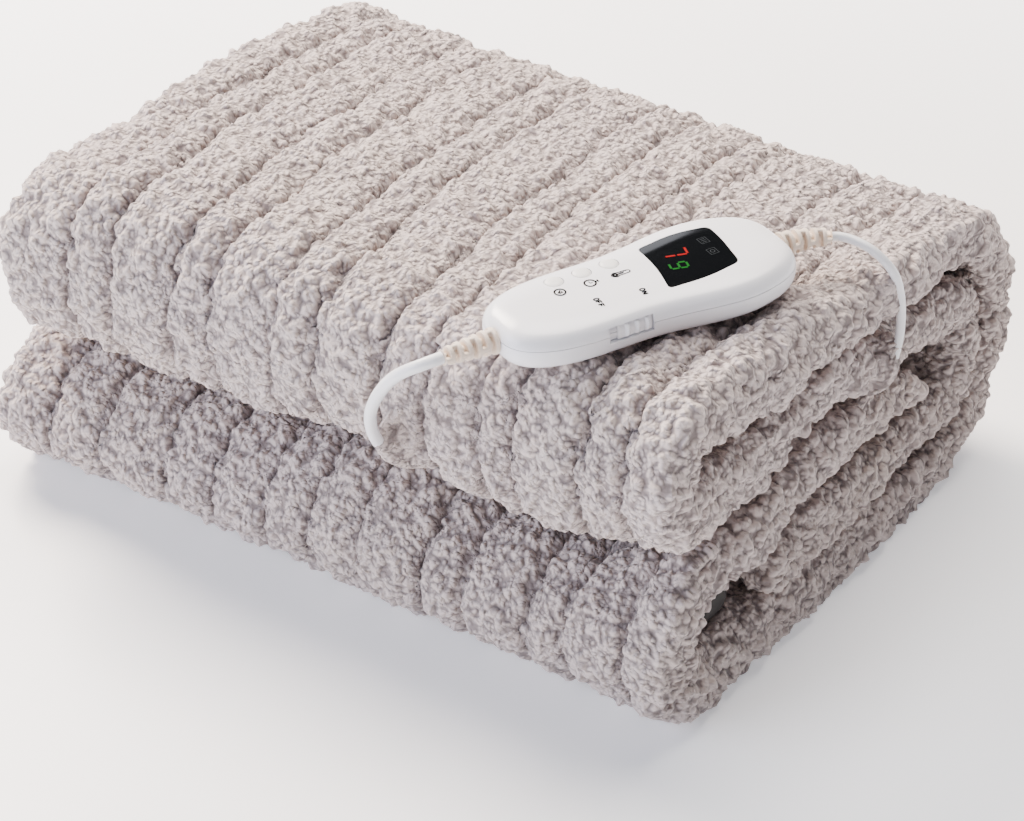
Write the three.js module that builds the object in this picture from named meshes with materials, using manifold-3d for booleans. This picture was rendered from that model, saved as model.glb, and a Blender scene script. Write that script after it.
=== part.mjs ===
// A folded electric underblanket with its handset, mains lead and blanket lead.
// Millimetres, +Z up. The blanket lies folded on a surface at z = 0, centred on the origin:
// X runs along the front folds, -Y is the front, +Y the back.

import * as THREE from 'three';
import { mergeVertices } from 'three/addons/utils/BufferGeometryUtils.js';
import Module from 'manifold-3d';

const wasm = await Module();
wasm.setup();

const RADIAN = Math.PI / 180;
const CLEARANCE = 0.3; // between pieces that touch

// ---------------------------------------------------------------- shared helpers

const smooth = (low, high, value) => {
  const t = Math.min(1, Math.max(0, (value - low) / (high - low)));
  return t * t * (3 - 2 * t);
};

// Interpolates y at x in rows of [x, y] pairs, eased between the rows.
function eased(rows, x) {
  const next = rows.findIndex(([at]) => at > x);
  if (next === 0) return rows[0][1];
  if (next < 0) return rows.at(-1)[1];
  const [[low, from], [high, to]] = [rows[next - 1], rows[next]];
  return from + (to - from) * smooth(low, high, x);
}

// A closed skin over rings of points. Point k of a ring lies across from point n - 1 - k, so
// each end is closed by rungs between such pairs.
function loft(rings) {
  const n = rings[0].length;
  const index = [];
  for (let s = 0; s < rings.length - 1; s += 1) {
    for (let i = 0; i < n; i += 1) {
      const a = s * n + i;
      const b = s * n + ((i + 1) % n);
      index.push(a, a + n, b, b, a + n, b + n);
    }
  }
  const last = (rings.length - 1) * n;
  for (let k = 0; k < n / 2 - 1; k += 1) {
    const [a, b, c, d] = [k, k + 1, n - 2 - k, n - 1 - k];
    index.push(a, b, c, a, c, d);
    index.push(last + a, last + c, last + b, last + a, last + d, last + c);
  }
  const geometry = new THREE.BufferGeometry();
  geometry.setAttribute('position', new THREE.Float32BufferAttribute(rings.flat(2), 3));
  geometry.setIndex(index);
  return mergeVertices(geometry, 1e-4);
}

// A closed geometry as a solid for cutting and joining, and back.
function solid(geometry) {
  const bare = geometry.clone();
  bare.deleteAttribute('normal');
  bare.deleteAttribute('uv');
  const merged = mergeVertices(bare, 1e-4);
  const vertProperties = new Float32Array(merged.attributes.position.array);
  const triVerts = new Uint32Array(merged.index.array);
  return new wasm.Manifold(new wasm.Mesh({ numProp: 3, vertProperties, triVerts }));
}

function geometryOf(body) {
  const { vertProperties, triVerts } = body.getMesh();
  const geometry = new THREE.BufferGeometry();
  geometry.setAttribute('position', new THREE.Float32BufferAttribute(vertProperties, 3));
  geometry.setIndex(new THREE.Uint32BufferAttribute(triVerts, 1));
  return geometry;
}

// A box from its lowest to its highest corner.
function boxBetween(low, high) {
  const [x, y, z] = high.map((value, i) => value - low[i]);
  const centre = high.map((value, i) => (value + low[i]) / 2);
  return new THREE.BoxGeometry(x, y, z).translate(...centre);
}

const finish = (color, roughness) => new THREE.MeshStandardMaterial({ color, roughness, metalness: 0 });

const FLEECE = finish(0xcfc6c2, 0.95);
const WHITE_ABS = finish(0xf1f1f4, 0.3);
const BUTTON_ABS = finish(0xecebea, 0.35);
const BLACK_WINDOW = finish(0x0b0c0d, 0.08);
const CREAM_RUBBER = finish(0xe9e2d8, 0.55);
const WHITE_PVC = finish(0xf0f0f4, 0.4);
const GREY_PLASTIC = finish(0xb9b4b0, 0.5);
const PIN_METAL = new THREE.MeshStandardMaterial({ color: 0xc9c6bd, roughness: 0.25, metalness: 1 });

function part(name, geometry, material) {
  const mesh = new THREE.Mesh(geometry, material.clone());
  mesh.name = name;
  return mesh;
}

// ---------------------------------------------------------------- blanket

// The cloth is one back-and-forth section in Y and Z, five layers high. Each row is a bend or a
// point of a layer, and straight runs join one to the next. Angles turn from +Y towards +Z.
// left and right are how far the cloth reaches along X, lean is how far its ridges have drifted
// along X, ridge is how deep their grooves are, steps the facets of the bend and run the
// stations along the straight stretch that follows.
const FOLDS = [
  { fold: 'tucked hem', y: 52.5, z: 81.5, radius: 0, from: 0, to: 0, thick: 25,
    left: -188, right: 209, lean: 0, ridge: 1, steps: 0, run: 2 },
  { fold: 'third layer, middle', y: -25.5, z: 83, radius: 0, from: 0, to: 0, thick: 28,
    left: -193, right: 213, lean: 0, ridge: 1, steps: 0, run: 2 },
  { fold: 'third layer, over the connector', y: -80, z: 82.5, radius: 0, from: 0, to: 0, thick: 29,
    left: -195, right: 213, lean: 0, ridge: 1, steps: 0, run: 2 },
  { fold: 'lower front', y: -123.5, z: 47, radius: 28.5, from: 90, to: 270, thick: 37,
    left: -213, right: 208, lean: 0, ridge: 2.6, steps: 8, run: 2 },
  { fold: 'bottom layer', y: -25.5, z: 16.5, radius: 0, from: 0, to: 0, thick: 33,
    left: -205, right: 211, lean: 0, ridge: 0, steps: 0, run: 2 },
  { fold: 'outer back', y: 90.2, z: 81.5, radius: 68, from: -90, to: 90, thick: 27,
    left: -196, right: 210, lean: -28, ridge: 2.4, steps: 9, run: 3 },
  { fold: 'top layer', y: -25.5, z: 161.5, radius: 0, from: 0, to: 0, thick: 37,
    left: -193, right: 213, lean: -13, ridge: 3.2, steps: 0, run: 4 },
  { fold: 'upper front', y: -125.5, z: 145, radius: 23.5, from: 90, to: 270, thick: 38,
    left: -201, right: 207, lean: 0, ridge: 3.2, steps: 8, run: 2 },
  { fold: 'second layer', y: -25.5, z: 123, radius: 0, from: 0, to: 0, thick: 34,
    left: -193, right: 213, lean: 0, ridge: 1, steps: 0, run: 2 },
  { fold: 'inner back', y: 92.5, z: 80, radius: 31, from: 90, to: -90, thick: 26,
    left: -190, right: 209, lean: 0, ridge: 1, steps: 7, run: 2 },
  { fold: 'fourth layer', y: -25.5, z: 48.5, radius: 0, from: 0, to: 0, thick: 29,
    left: -193, right: 212, lean: 0, ridge: 1, steps: 0, run: 2 },
  { fold: 'inner hem', y: -63.5, z: 49, radius: 0, from: 0, to: 0, thick: 27,
    left: -190, right: 209, lean: 0, ridge: 1, steps: 0, run: 0 },
];
const HEM_STEPS = 2; // stations that round off a free edge
const END_STEPS = 5; // facets around each rounded end of a layer, an odd number

// Soft grooves cross the cloth in pairs, a narrow ridge inside each pair, wide ones between.
const GROOVES = [-153, -127, -87, -62, -24, 1, 42, 66, 98, 115, 153, 178];
const LEAN_REACH = 190; // the lean fades out towards this distance from the middle

// The connector and the tucked hem prop the layers up towards the right front corner.
const LIFT = { height: 15, x_start: 135, x_full: 210, y_full: -45, y_end: 85 };
const LIFT_BAND = { starts: 50, full: 75, eases: 110, ends: 185 };

// The handset presses the pile down to a flat bed.
const HANDSET = { x: 137, y: -88, z: 185, yaw: 65.9, long: 157, height: 20 };
const BED = { half_long: 79, half_wide: 34, margin: 14, fades: 42, sink: 0.5 };

function liftAt(x, y, z) {
  const place = smooth(LIFT.x_start, LIFT.x_full, x) * (1 - smooth(LIFT.y_full, LIFT.y_end, y));
  const band = smooth(LIFT_BAND.starts, LIFT_BAND.full, z) * (1 - smooth(LIFT_BAND.eases, LIFT_BAND.ends, z));
  return LIFT.height * place * band;
}

function bedAt(x, y) {
  const turn = HANDSET.yaw * RADIAN;
  const [dx, dy] = [x - HANDSET.x, y - HANDSET.y];
  const u = Math.abs(dx * Math.cos(turn) + dy * Math.sin(turn)) - BED.half_long;
  const v = Math.abs(dy * Math.cos(turn) - dx * Math.sin(turn)) - BED.half_wide;
  const outside = Math.hypot(Math.max(u, 0), Math.max(v, 0));
  return 1 - smooth(BED.margin, BED.fades, outside);
}

const FLAT_BELOW = 0.1; // the underside is levelled from here down

function settle([x, y, z]) {
  const lifted = z < FLAT_BELOW ? 0 : z + liftAt(x, y, z);
  const over = Math.max(0, lifted - (HANDSET.z - BED.sink));
  return [x, y, lifted - over * bedAt(x, y)];
}

const mix = (from, to, t) => {
  const keys = ['y', 'z', 'thick', 'left', 'right', 'lean', 'ridge'];
  return Object.fromEntries(keys.map((key) => [key, from[key] + (to[key] - from[key]) * t]));
};

// Stations along the centre line of the cloth, each with its direction of travel.
function clothStations() {
  const stations = [];
  FOLDS.forEach((row, index) => {
    for (let i = 0; i <= row.steps; i += 1) {
      const angle = (row.from + ((row.to - row.from) * i) / Math.max(row.steps, 1)) * RADIAN;
      const y = row.y + row.radius * Math.cos(angle);
      const z = row.z + row.radius * Math.sin(angle);
      stations.push({ ...mix(row, row, 0), y, z });
    }
    const next = FOLDS[index + 1];
    if (!next) return;
    const begin = stations.at(-1);
    const angle = next.from * RADIAN;
    const y = next.y + next.radius * Math.cos(angle);
    const z = next.z + next.radius * Math.sin(angle);
    const end = { ...mix(next, next, 0), y, z };
    for (let i = 1; i < row.run; i += 1) stations.push(mix(begin, end, i / row.run));
  });
  stations.forEach((station, i) => {
    const before = stations[Math.max(i - 1, 0)];
    const after = stations[Math.min(i + 1, stations.length - 1)];
    const run = Math.hypot(after.y - before.y, after.z - before.z);
    station.dy = (after.y - before.y) / run;
    station.dz = (after.z - before.z) / run;
  });
  return [...roundedHem(stations[0], -1), ...stations, ...roundedHem(stations.at(-1), 1)];
}

// A free edge thins down along a half circle, past the last full station.
function roundedHem(station, sense) {
  const rounded = [];
  for (let i = 1; i <= HEM_STEPS; i += 1) {
    const angle = (i / (HEM_STEPS + 0.35)) * (Math.PI / 2);
    const step = (sense * station.thick * Math.sin(angle)) / 2;
    rounded.push({
      ...station,
      y: station.y + station.dy * step,
      z: station.z + station.dz * step,
      thick: station.thick * Math.cos(angle),
      ridge: 0,
    });
  }
  return sense < 0 ? rounded.reverse() : rounded;
}

// One slice across X, from its left end over the show side to its right end and back.
function clothSlice({ thick, left, right, lean, ridge, y, z, dy, dz }) {
  const half = thick / 2;
  const leaning = GROOVES.map((x) => x + lean * (1 - (x / LEAN_REACH) ** 4));
  const marks = [left + half, ...leaning, right - half];
  const upper = [];
  for (let i = 1; i < END_STEPS / 2; i += 1) {
    const angle = ((i - 0.5) / END_STEPS) * Math.PI;
    upper.push([left + half * (1 - Math.cos(angle)), half * Math.sin(angle), 0]);
  }
  marks.forEach((x, i) => {
    const crown = (x + marks[i + 1]) / 2;
    upper.push([x, half, i > 0 && i < marks.length - 1 ? ridge : 0]);
    if (i < marks.length - 1) upper.push([crown, half, 0]);
  });
  for (let i = Math.floor(END_STEPS / 2); i > 0; i -= 1) {
    const angle = ((i - 0.5) / END_STEPS) * Math.PI;
    upper.push([right - half * (1 - Math.cos(angle)), half * Math.sin(angle), 0]);
  }
  const show = upper.map(([x, off, groove]) => [x, off - groove]);
  const inner = upper.map(([x, off]) => [x, -off]).reverse();
  // The show side lies to the right of the direction of travel.
  return [...show, ...inner].map(([x, off]) => settle([x, y + dz * off, z - dy * off]));
}

const blanket = part('blanket', loft(clothStations().map(clothSlice)), FLEECE);

// ---------------------------------------------------------------- handset

// Its own frame: u along its length towards the display, v towards the buttons, w up.
const END_POWER = 0.625; // how square the two ends are
const HALF_WIDTH = [[-60, 29.8], [-12, 28], [48, 35.3]]; // [u, half width]
const SIDE_LEVELS = [[0, 6.5], [1.2, 3.2], [4, 0.9], [8, 0], [12.5, 0.3], [15.5, 1.6], [17.8, 4.2], [19.2, 9],
  [19.9, 16], [20, 23]]; // [w, inset]
const PLAN_POINTS = 44;
const SPLIT = 12.5; // the seam between the two shells

// The handset's outer form, drawn in by inset all round.
function handsetForm(inset = 0) {
  const rings = SIDE_LEVELS.map(([w, level_inset]) => {
    const ring = [];
    for (let k = 0; k < PLAN_POINTS; k += 1) {
      const angle = ((k + 0.5) / PLAN_POINTS) * 2 * Math.PI;
      const [c, s] = [Math.cos(angle), Math.sin(angle)];
      const away = level_inset + inset;
      const u = Math.sign(c) * Math.abs(c) ** END_POWER * (HANDSET.long / 2 - away);
      const half = eased(HALF_WIDTH, u) - away;
      const height = w - (inset * (w - HANDSET.height / 2)) / (HANDSET.height / 2);
      ring.push([u, Math.sign(s) * Math.abs(s) ** END_POWER * half, height]);
    }
    return ring;
  });
  return solid(loft(rings.reverse()));
}

// A plate with rounded corners in U and V, from its lowest to its highest w.
function plate(corners, shrink, low, high) {
  const middle = { u: 0, v: 0 };
  corners.forEach(({ u, v }) => {
    middle.u += u / corners.length;
    middle.v += v / corners.length;
  });
  const drawn = corners.map(({ u, v, round }) => ({
    point: new THREE.Vector2(u - Math.sign(u - middle.u) * shrink, v - Math.sign(v - middle.v) * shrink),
    round,
  }));
  const shape = new THREE.Shape();
  drawn.forEach(({ point, round }, i) => {
    const before = drawn.at(i - 1).point;
    const after = drawn[(i + 1) % drawn.length].point;
    const enter = point.clone().lerp(before, round / point.distanceTo(before));
    const leave = point.clone().lerp(after, round / point.distanceTo(after));
    if (i === 0) shape.moveTo(enter.x, enter.y);
    else shape.lineTo(enter.x, enter.y);
    shape.quadraticCurveTo(point.x, point.y, leave.x, leave.y);
  });
  return new THREE.ExtrudeGeometry(shape, { depth: high - low, bevelEnabled: false, curveSegments: 4 })
    .translate(0, 0, low);
}

const WINDOW = {
  low: 16,
  corners: [
    { u: 8, v: 20.2, round: 3 },
    { u: 29, v: 21.6, round: 6 },
    { u: 49.5, v: 20, round: 3.5 },
    { u: 50.2, v: 5, round: 5 },
    { u: 47, v: -11.5, round: 4 },
    { u: 26, v: -15, round: 7 },
    { u: 6.5, v: -15.2, round: 3.5 },
  ],
};
const BUTTON = { radius: 4.5, low: 16.6, brim: 19.3, top: 20.4, v: 16, pocket_low: 15.4 };
const BUTTONS = [
  { name: 'button_power', u: -36 },
  { name: 'button_timer', u: -21 },
  { name: 'button_heat', u: -6 },
];
const SLIDE = {
  from: -31, to: -13, low: 10.9, high: 18.1, back: -21, travel: 5, // the knob at rest, at its ON end
  slot_deep: 2.6, knob_deep: 2.2, knob_face: 0.6, rib_proud: 0.5, ribs: 4, rib_wide: 1.6,
};
const NECK = { radius: 4.5, deep: 6.5, w: 9.5 };

function buttonSolid({ radius, low, brim, top }, grow = 0) {
  const profile = [[0, low - grow], [radius + grow, low - grow], [radius + grow, brim + grow]];
  for (let i = 1; i <= 4; i += 1) {
    const angle = (i / 4) * (Math.PI / 2);
    profile.push([(radius + grow) * Math.cos(angle), brim + grow + (top - brim) * Math.sin(angle)]);
  }
  const points = profile.map(([r, w]) => new THREE.Vector2(Math.max(r, 0), w));
  return new THREE.LatheGeometry(points, 20).rotateX(Math.PI / 2);
}

const neckHole = (end) => {
  const length = NECK.deep + 4;
  return solid(new THREE.CylinderGeometry(NECK.radius + CLEARANCE, NECK.radius + CLEARANCE, length, 20)
    .rotateZ(Math.PI / 2)
    .translate(end * (HANDSET.long / 2 - NECK.deep - CLEARANCE + length / 2), 0, NECK.w));
};

function handsetParts() {
  const form = handsetForm();
  const wide = 60;
  const slot = solid(boxBetween(
    [SLIDE.from - SLIDE.travel - 0.5, -wide, SLIDE.low - 0.4],
    [SLIDE.to + 0.4, SLIDE.back + 0.4, SLIDE.high + 0.4],
  )).subtract(handsetForm(SLIDE.slot_deep));
  const half = HANDSET.long / 2 + 1;
  const above = solid(boxBetween([-half, -wide, SPLIT + CLEARANCE / 2], [half, wide, HANDSET.height + 1]));
  const below = solid(boxBetween([-half, -wide, -1], [half, wide, SPLIT - CLEARANCE / 2]));
  const shell = form.subtract(slot).subtract(neckHole(-1)).subtract(neckHole(1));
  let upper = shell.intersect(above)
    .subtract(solid(plate(WINDOW.corners, 0, WINDOW.low, HANDSET.height + 2)));
  const meshes = [part('handset_lower_shell', geometryOf(shell.intersect(below)), WHITE_ABS)];

  BUTTONS.forEach(({ name, u }) => {
    const pocket = new THREE.CylinderGeometry(BUTTON.radius + 0.35, BUTTON.radius + 0.35, 10, 24)
      .rotateX(Math.PI / 2)
      .translate(u, BUTTON.v, BUTTON.pocket_low + 5);
    upper = upper.subtract(solid(pocket));
    meshes.push(part(name, buttonSolid(BUTTON).translate(u, BUTTON.v, 0), BUTTON_ABS));
  });
  meshes.push(part('handset_upper_shell', geometryOf(upper), WHITE_ABS));

  const glass = solid(plate(WINDOW.corners, CLEARANCE, WINDOW.low + CLEARANCE, HANDSET.height + 2));
  meshes.push(part('display_window', geometryOf(glass.intersect(form)), BLACK_WINDOW));

  const knobBox = boxBetween([SLIDE.from, -wide, SLIDE.low], [SLIDE.to, SLIDE.back, SLIDE.high]);
  let knob = solid(knobBox).intersect(handsetForm(SLIDE.knob_face));
  const pitch = (SLIDE.to - SLIDE.from) / SLIDE.ribs;
  for (let i = 0; i < SLIDE.ribs; i += 1) {
    const u = SLIDE.from + pitch * (i + 0.5);
    const rib = boxBetween(
      [u - SLIDE.rib_wide / 2, -wide, SLIDE.low + 0.3],
      [u + SLIDE.rib_wide / 2, SLIDE.back, SLIDE.high - 0.3],
    );
    knob = knob.add(solid(rib).intersect(handsetForm(-SLIDE.rib_proud)));
  }
  meshes.push(part('power_slide', geometryOf(knob.subtract(handsetForm(SLIDE.knob_deep))), WHITE_ABS));
  return meshes;
}

// A ribbed strain relief that bends sideways by bend degrees on its way to the tip.
const RELIEF = { long: 27, base: 6.5, tip: 4.2, ribs: 6, groove: 1.1, sides: 14 };

function reliefSolid(bend) {
  const profile = [[0, -NECK.deep], [NECK.radius, -NECK.deep], [NECK.radius, CLEARANCE], [RELIEF.base, CLEARANCE]];
  const pitch = RELIEF.long / RELIEF.ribs;
  const radiusAt = (s) => RELIEF.base + (RELIEF.tip - RELIEF.base) * (s / RELIEF.long);
  for (let i = 0; i < RELIEF.ribs; i += 1) {
    const s = i * pitch;
    if (i > 0) profile.push([radiusAt(s), s + 0.4]);
    if (i < RELIEF.ribs - 1) {
      profile.push([radiusAt(s + pitch * 0.6), s + pitch * 0.6]);
      profile.push([radiusAt(s + pitch) - RELIEF.groove, s + pitch * 0.85]);
    }
  }
  profile.push([RELIEF.tip, RELIEF.long], [0, RELIEF.long]);
  const geometry = new THREE.LatheGeometry(profile.map(([r, s]) => new THREE.Vector2(r, s)), RELIEF.sides);
  // From the lathe's own axis to +U, then along an arc in the plane of U and V.
  geometry.rotateZ(-Math.PI / 2);
  const places = geometry.attributes.position;
  const curve = (bend * RADIAN) / RELIEF.long;
  for (let i = 0; i < places.count; i += 1) {
    const [s, v] = [places.getX(i), places.getY(i)];
    if (s > 0 && curve !== 0) {
      const turn = s * curve;
      const x = (Math.sin(turn) / curve) - v * Math.sin(turn);
      const y = ((1 - Math.cos(turn)) / curve) + v * Math.cos(turn);
      places.setXY(i, x, y);
    }
  }
  return geometry;
}

const handset = new THREE.Group();
handset.position.set(HANDSET.x, HANDSET.y, HANDSET.z);
handset.rotation.z = HANDSET.yaw * RADIAN;
handset.add(...handsetParts());

const LEAD_BEND = -26; // the blanket lead pulls its relief round towards the right end
const mainsRelief = part('mains_relief', reliefSolid(0), CREAM_RUBBER);
mainsRelief.position.set(-HANDSET.long / 2, 0, NECK.w);
mainsRelief.rotation.z = Math.PI;
const leadRelief = part('lead_relief', reliefSolid(LEAD_BEND), CREAM_RUBBER);
leadRelief.position.set(HANDSET.long / 2, 0, NECK.w);
handset.add(mainsRelief, leadRelief);

// ---------------------------------------------------------------- cords

const MAINS = { diameter: 6, sides: 10, steps: 44 };
const LEAD = { diameter: 4.6, sides: 8, steps: 34 };
const COIL = { x: -50, y: 222, turn_radius: 33, wide: 2, high: 2, low: 1.2 };

// From the handset over the front roll, in between the rolls, out at the left end and along
// the floor to the coil behind the blanket.
const MAINS_ROUTE = [
  [93.8, -184.6, 194.5], [92.5, -187.4, 194.4], [87.4, -192.8, 192.2], [81.2, -195, 188.2], [75.4, -195.4, 183],
  [69.8, -194.4, 176.4],
  [64.4, -192.8, 168.6], [59.2, -190.4, 160], [54.8, -187.4, 151], [51.6, -183.8, 142], [49.8, -179.6, 132.6],
  [49.4, -173.8, 122.6], [49.8, -165.4, 112.6], [50.6, -154, 104.4], [51, -139, 99.6], [49, -120, 98.4],
  [40, -94, 99.6], [20, -66, 101], [-12, -46, 101.6], [-58, -29, 101.6], [-106, -14, 101.4], [-152, -1, 100.8],
  [-188, 8, 100.4], [-208, 15, 98.6], [-224, 25, 90], [-233, 37, 76], [-238, 51, 58], [-241, 67, 39],
  [-242, 86, 21], [-240, 108, 8.6], [-235, 130, 3.6], [-224, 151, 3.2], [-205, 169, 3.2], [-178, 180, 3.2],
  [-146, 185, 3.3], [-108, 186, 3.8], [-72, 186, 4.2],
];
// From the coil's top turn down to the plug.
const TAIL_ROUTE = [[-28.4, 186.1, 10.2], [-16, 187.2, 9.4], [-2, 190, 8], [12, 192.8, 7.1], [26, 193.6, 7]];
// From the handset over the right end, in between the layers, round the tucked hem and
// forward to the connector in the lower front fold.
const LEAD_ROUTE = [
  [185.45, 5.2, 194.5], [187.8, 7.1, 194.4], [192, 9.2, 193.8], [197.8, 10.4, 192.6], [203.6, 11.4, 190.6], [208.8, 12.4, 187.2],
  [212.8, 14, 182.6], [215.4, 16.2, 176.4], [216.6, 18.6, 168.4], [217.2, 20.4, 159], [217.2, 21.6, 149.6],
  [217, 21.4, 140.6], [216.6, 19.8, 132], [215.6, 17.8, 124], [212.4, 16, 116.4], [206, 15.2, 110.6],
  [196.6, 16, 107.6], [185, 19, 106], [173, 25.4, 103.6], [162, 35, 100.6], [152, 47, 98], [142, 59.6, 96],
  [132.6, 69.4, 90.6], [124, 73.8, 82], [115.6, 71, 73.2], [107.6, 62, 67.6], [99.6, 49, 65.8],
  [92, 32, 65.8], [87, 12, 66], [84.4, -10, 66], [83.6, -32, 66], [84.2, -53, 65.8], [87, -72, 64.4],
  [92.6, -87, 60], [101.4, -97.4, 53.8], [112.6, -102.4, 49.2], [124.4, -103.4, 47.5], [131.7, -103.5, 47.3],
];

function tube(route, { diameter, sides, steps }) {
  const path = new THREE.CatmullRomCurve3(route.map((point) => new THREE.Vector3(...point)));
  const section = [];
  for (let i = 0; i < sides; i += 1) {
    const angle = (i / sides) * 2 * Math.PI;
    section.push(new THREE.Vector2(Math.cos(angle), Math.sin(angle)).multiplyScalar(diameter / 2));
  }
  return new THREE.ExtrudeGeometry(new THREE.Shape(section), { steps, bevelEnabled: false, extrudePath: path });
}

// The ring that the coiled turns fill.
function coilRing() {
  const half = (COIL.wide * MAINS.diameter) / 2;
  const tall = COIL.high * MAINS.diameter;
  const round = 2;
  const corners = [[-1, 0, 180], [1, 0, 270], [1, 1, 0], [-1, 1, 90]];
  const profile = corners.flatMap(([side, top, start]) => [0, 45, 90].map((turn) => {
    const angle = (start + turn) * RADIAN;
    const r = COIL.turn_radius + side * (half - round) + round * Math.cos(angle);
    const z = COIL.low + (top ? tall - round : round) + round * Math.sin(angle);
    return new THREE.Vector2(r, z);
  }));
  profile.push(profile[0].clone());
  return new THREE.LatheGeometry(profile, 32).rotateX(Math.PI / 2).translate(COIL.x, COIL.y, 0);
}

// A strap around the coil at its back, closed on itself.
const TIE = { thick: 0.8, wide: 9 };

function coilTie() {
  const half = (COIL.wide * MAINS.diameter) / 2 + CLEARANCE + 0.2;
  const low = COIL.low - CLEARANCE;
  const high = COIL.low + COIL.high * MAINS.diameter + CLEARANCE;
  const y = COIL.y + COIL.turn_radius;
  const frame = (grow) => boxBetween(
    [COIL.x - TIE.wide / 2 - (grow ? 0 : 1), y - half - 0.4 - grow, low - grow],
    [COIL.x + TIE.wide / 2 + (grow ? 0 : 1), y + half - 0.1 + grow, high + grow],
  );
  return geometryOf(solid(frame(TIE.thick)).subtract(solid(frame(0))));
}

// The flat mains plug lies beside the coil, its pins along +X.
const PLUG = { x: 46.6, y: 193.6, z: 7, long: 35.3, wide: 26.1, neck_wide: 13, thick: 13.7, pin_apart: 18.6 };
const PLUG_RELIEF = { long: 20, base: 5, tip: 3.9 };
const PIN = { radius: 2, long: 19 };

function plugParts() {
  const half = PLUG.wide / 2;
  const neck = PLUG.neck_wide / 2;
  const outline = new THREE.Shape([
    [0, -neck], [9, -neck], [17, -half], [PLUG.long - 3, -half], [PLUG.long, -half + 3],
    [PLUG.long, half - 3], [PLUG.long - 3, half], [17, half], [9, neck], [0, neck],
  ].map(([x, y]) => new THREE.Vector2(x, y)));
  const bevel = 2.5;
  const body = new THREE.ExtrudeGeometry(outline, {
    depth: PLUG.thick - 2 * bevel, bevelThickness: bevel, bevelSize: bevel, bevelOffset: -bevel, bevelSegments: 2,
  }).translate(0, 0, bevel - PLUG.thick / 2);
  const relief = new THREE.CylinderGeometry(PLUG_RELIEF.tip, PLUG_RELIEF.base, PLUG_RELIEF.long, 16)
    .rotateZ(Math.PI / 2)
    .translate(-PLUG_RELIEF.long / 2 - CLEARANCE, 0, 0);
  const meshes = [part('plug_body', body, WHITE_PVC), part('plug_relief', relief, WHITE_PVC)];
  [-1, 1].forEach((side) => {
    const name = side < 0 ? 'plug_pin_front' : 'plug_pin_back';
    const pin = new THREE.CapsuleGeometry(PIN.radius, PIN.long - 2 * PIN.radius, 2, 10)
      .rotateZ(Math.PI / 2)
      .translate(PLUG.long + CLEARANCE + PIN.long / 2, (side * PLUG.pin_apart) / 2, 0);
    meshes.push(part(name, pin, PIN_METAL));
  });
  return meshes;
}

const plug = new THREE.Group();
plug.position.set(PLUG.x, PLUG.y, PLUG.z);
plug.add(...plugParts());

// The connector at the blanket's end of its lead lies in the lower front fold, along X.
const CONNECTOR = { from: 146, to: 198, y: -103.5, low: 37.6, wide: 28, thick: 19.4, relief: 14 };

function connectorSolid() {
  const rows = [[0, 0.52], [2, 0.66], [8, 0.86], [16, 0.97], [40, 1], [48, 0.94], [51, 0.82], [52, 0.66]];
  const rings = rows.map(([along, size]) => {
    const ring = [];
    for (let k = 0; k < 20; k += 1) {
      const angle = ((k + 0.5) / 20) * 2 * Math.PI;
      const [c, s] = [Math.cos(angle), Math.sin(angle)];
      const y = (Math.sign(c) * Math.abs(c) ** 0.6 * size * CONNECTOR.wide) / 2;
      const z = (Math.sign(s) * Math.abs(s) ** 0.6 * size * CONNECTOR.thick) / 2;
      ring.push([CONNECTOR.from + along, CONNECTOR.y + y, CONNECTOR.low + CONNECTOR.thick / 2 + z]);
    }
    return ring;
  });
  return loft(rings.reverse());
}

function connectorRelief() {
  return new THREE.CylinderGeometry(4.4, 3.3, CONNECTOR.relief - 2 * CLEARANCE, 16)
    .rotateZ(-Math.PI / 2)
    .translate(CONNECTOR.from - CONNECTOR.relief / 2, CONNECTOR.y, CONNECTOR.low + CONNECTOR.thick / 2);
}

const group = new THREE.Group();
group.add(
  blanket,
  handset,
  part('mains_cord', tube(MAINS_ROUTE, MAINS), WHITE_PVC),
  part('mains_coil', coilRing(), WHITE_PVC),
  part('mains_tail', tube(TAIL_ROUTE, { ...MAINS, steps: 4 }), WHITE_PVC),
  part('cord_tie', coilTie(), WHITE_PVC),
  plug,
  part('blanket_lead', tube(LEAD_ROUTE, LEAD), WHITE_PVC),
  part('lead_connector', connectorSolid(), GREY_PLASTIC),
  part('connector_relief', connectorRelief(), GREY_PLASTIC),
);

export default group;
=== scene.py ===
"""Dresses a folded electric underblanket: sherpa fleece, handset, mains lead and blanket lead.

Lengths in the classes are millimetres in the frame's axes, and meshes are made in metres.
The handset is drawn in its own frame: u along its length towards the display, v towards
the buttons and w up.
"""

import logging
import math
from dataclasses import dataclass, field
from enum import Enum

import bpy
import numpy as np
from mathutils import Matrix, Vector, noise
from mathutils.bvhtree import BVHTree


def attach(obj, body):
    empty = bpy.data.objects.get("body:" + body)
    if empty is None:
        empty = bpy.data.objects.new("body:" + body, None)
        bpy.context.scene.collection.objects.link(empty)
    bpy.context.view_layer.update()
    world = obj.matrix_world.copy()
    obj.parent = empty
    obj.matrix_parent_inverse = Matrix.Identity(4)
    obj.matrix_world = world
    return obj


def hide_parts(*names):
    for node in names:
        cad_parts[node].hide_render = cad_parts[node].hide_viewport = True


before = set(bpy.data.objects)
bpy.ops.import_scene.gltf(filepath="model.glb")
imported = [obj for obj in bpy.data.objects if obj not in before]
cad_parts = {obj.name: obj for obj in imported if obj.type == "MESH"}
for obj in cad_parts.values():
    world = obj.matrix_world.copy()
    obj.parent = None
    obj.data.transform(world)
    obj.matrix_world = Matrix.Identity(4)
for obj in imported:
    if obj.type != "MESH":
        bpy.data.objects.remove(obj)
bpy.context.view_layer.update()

MM = 0.001
LOG = logging.getLogger("underblanket")
Pair = tuple[float, float]
Triple = tuple[float, float, float]
Piece = bpy.types.Object
Tree = bpy.types.NodeTree
Socket = bpy.types.NodeSocket


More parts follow.
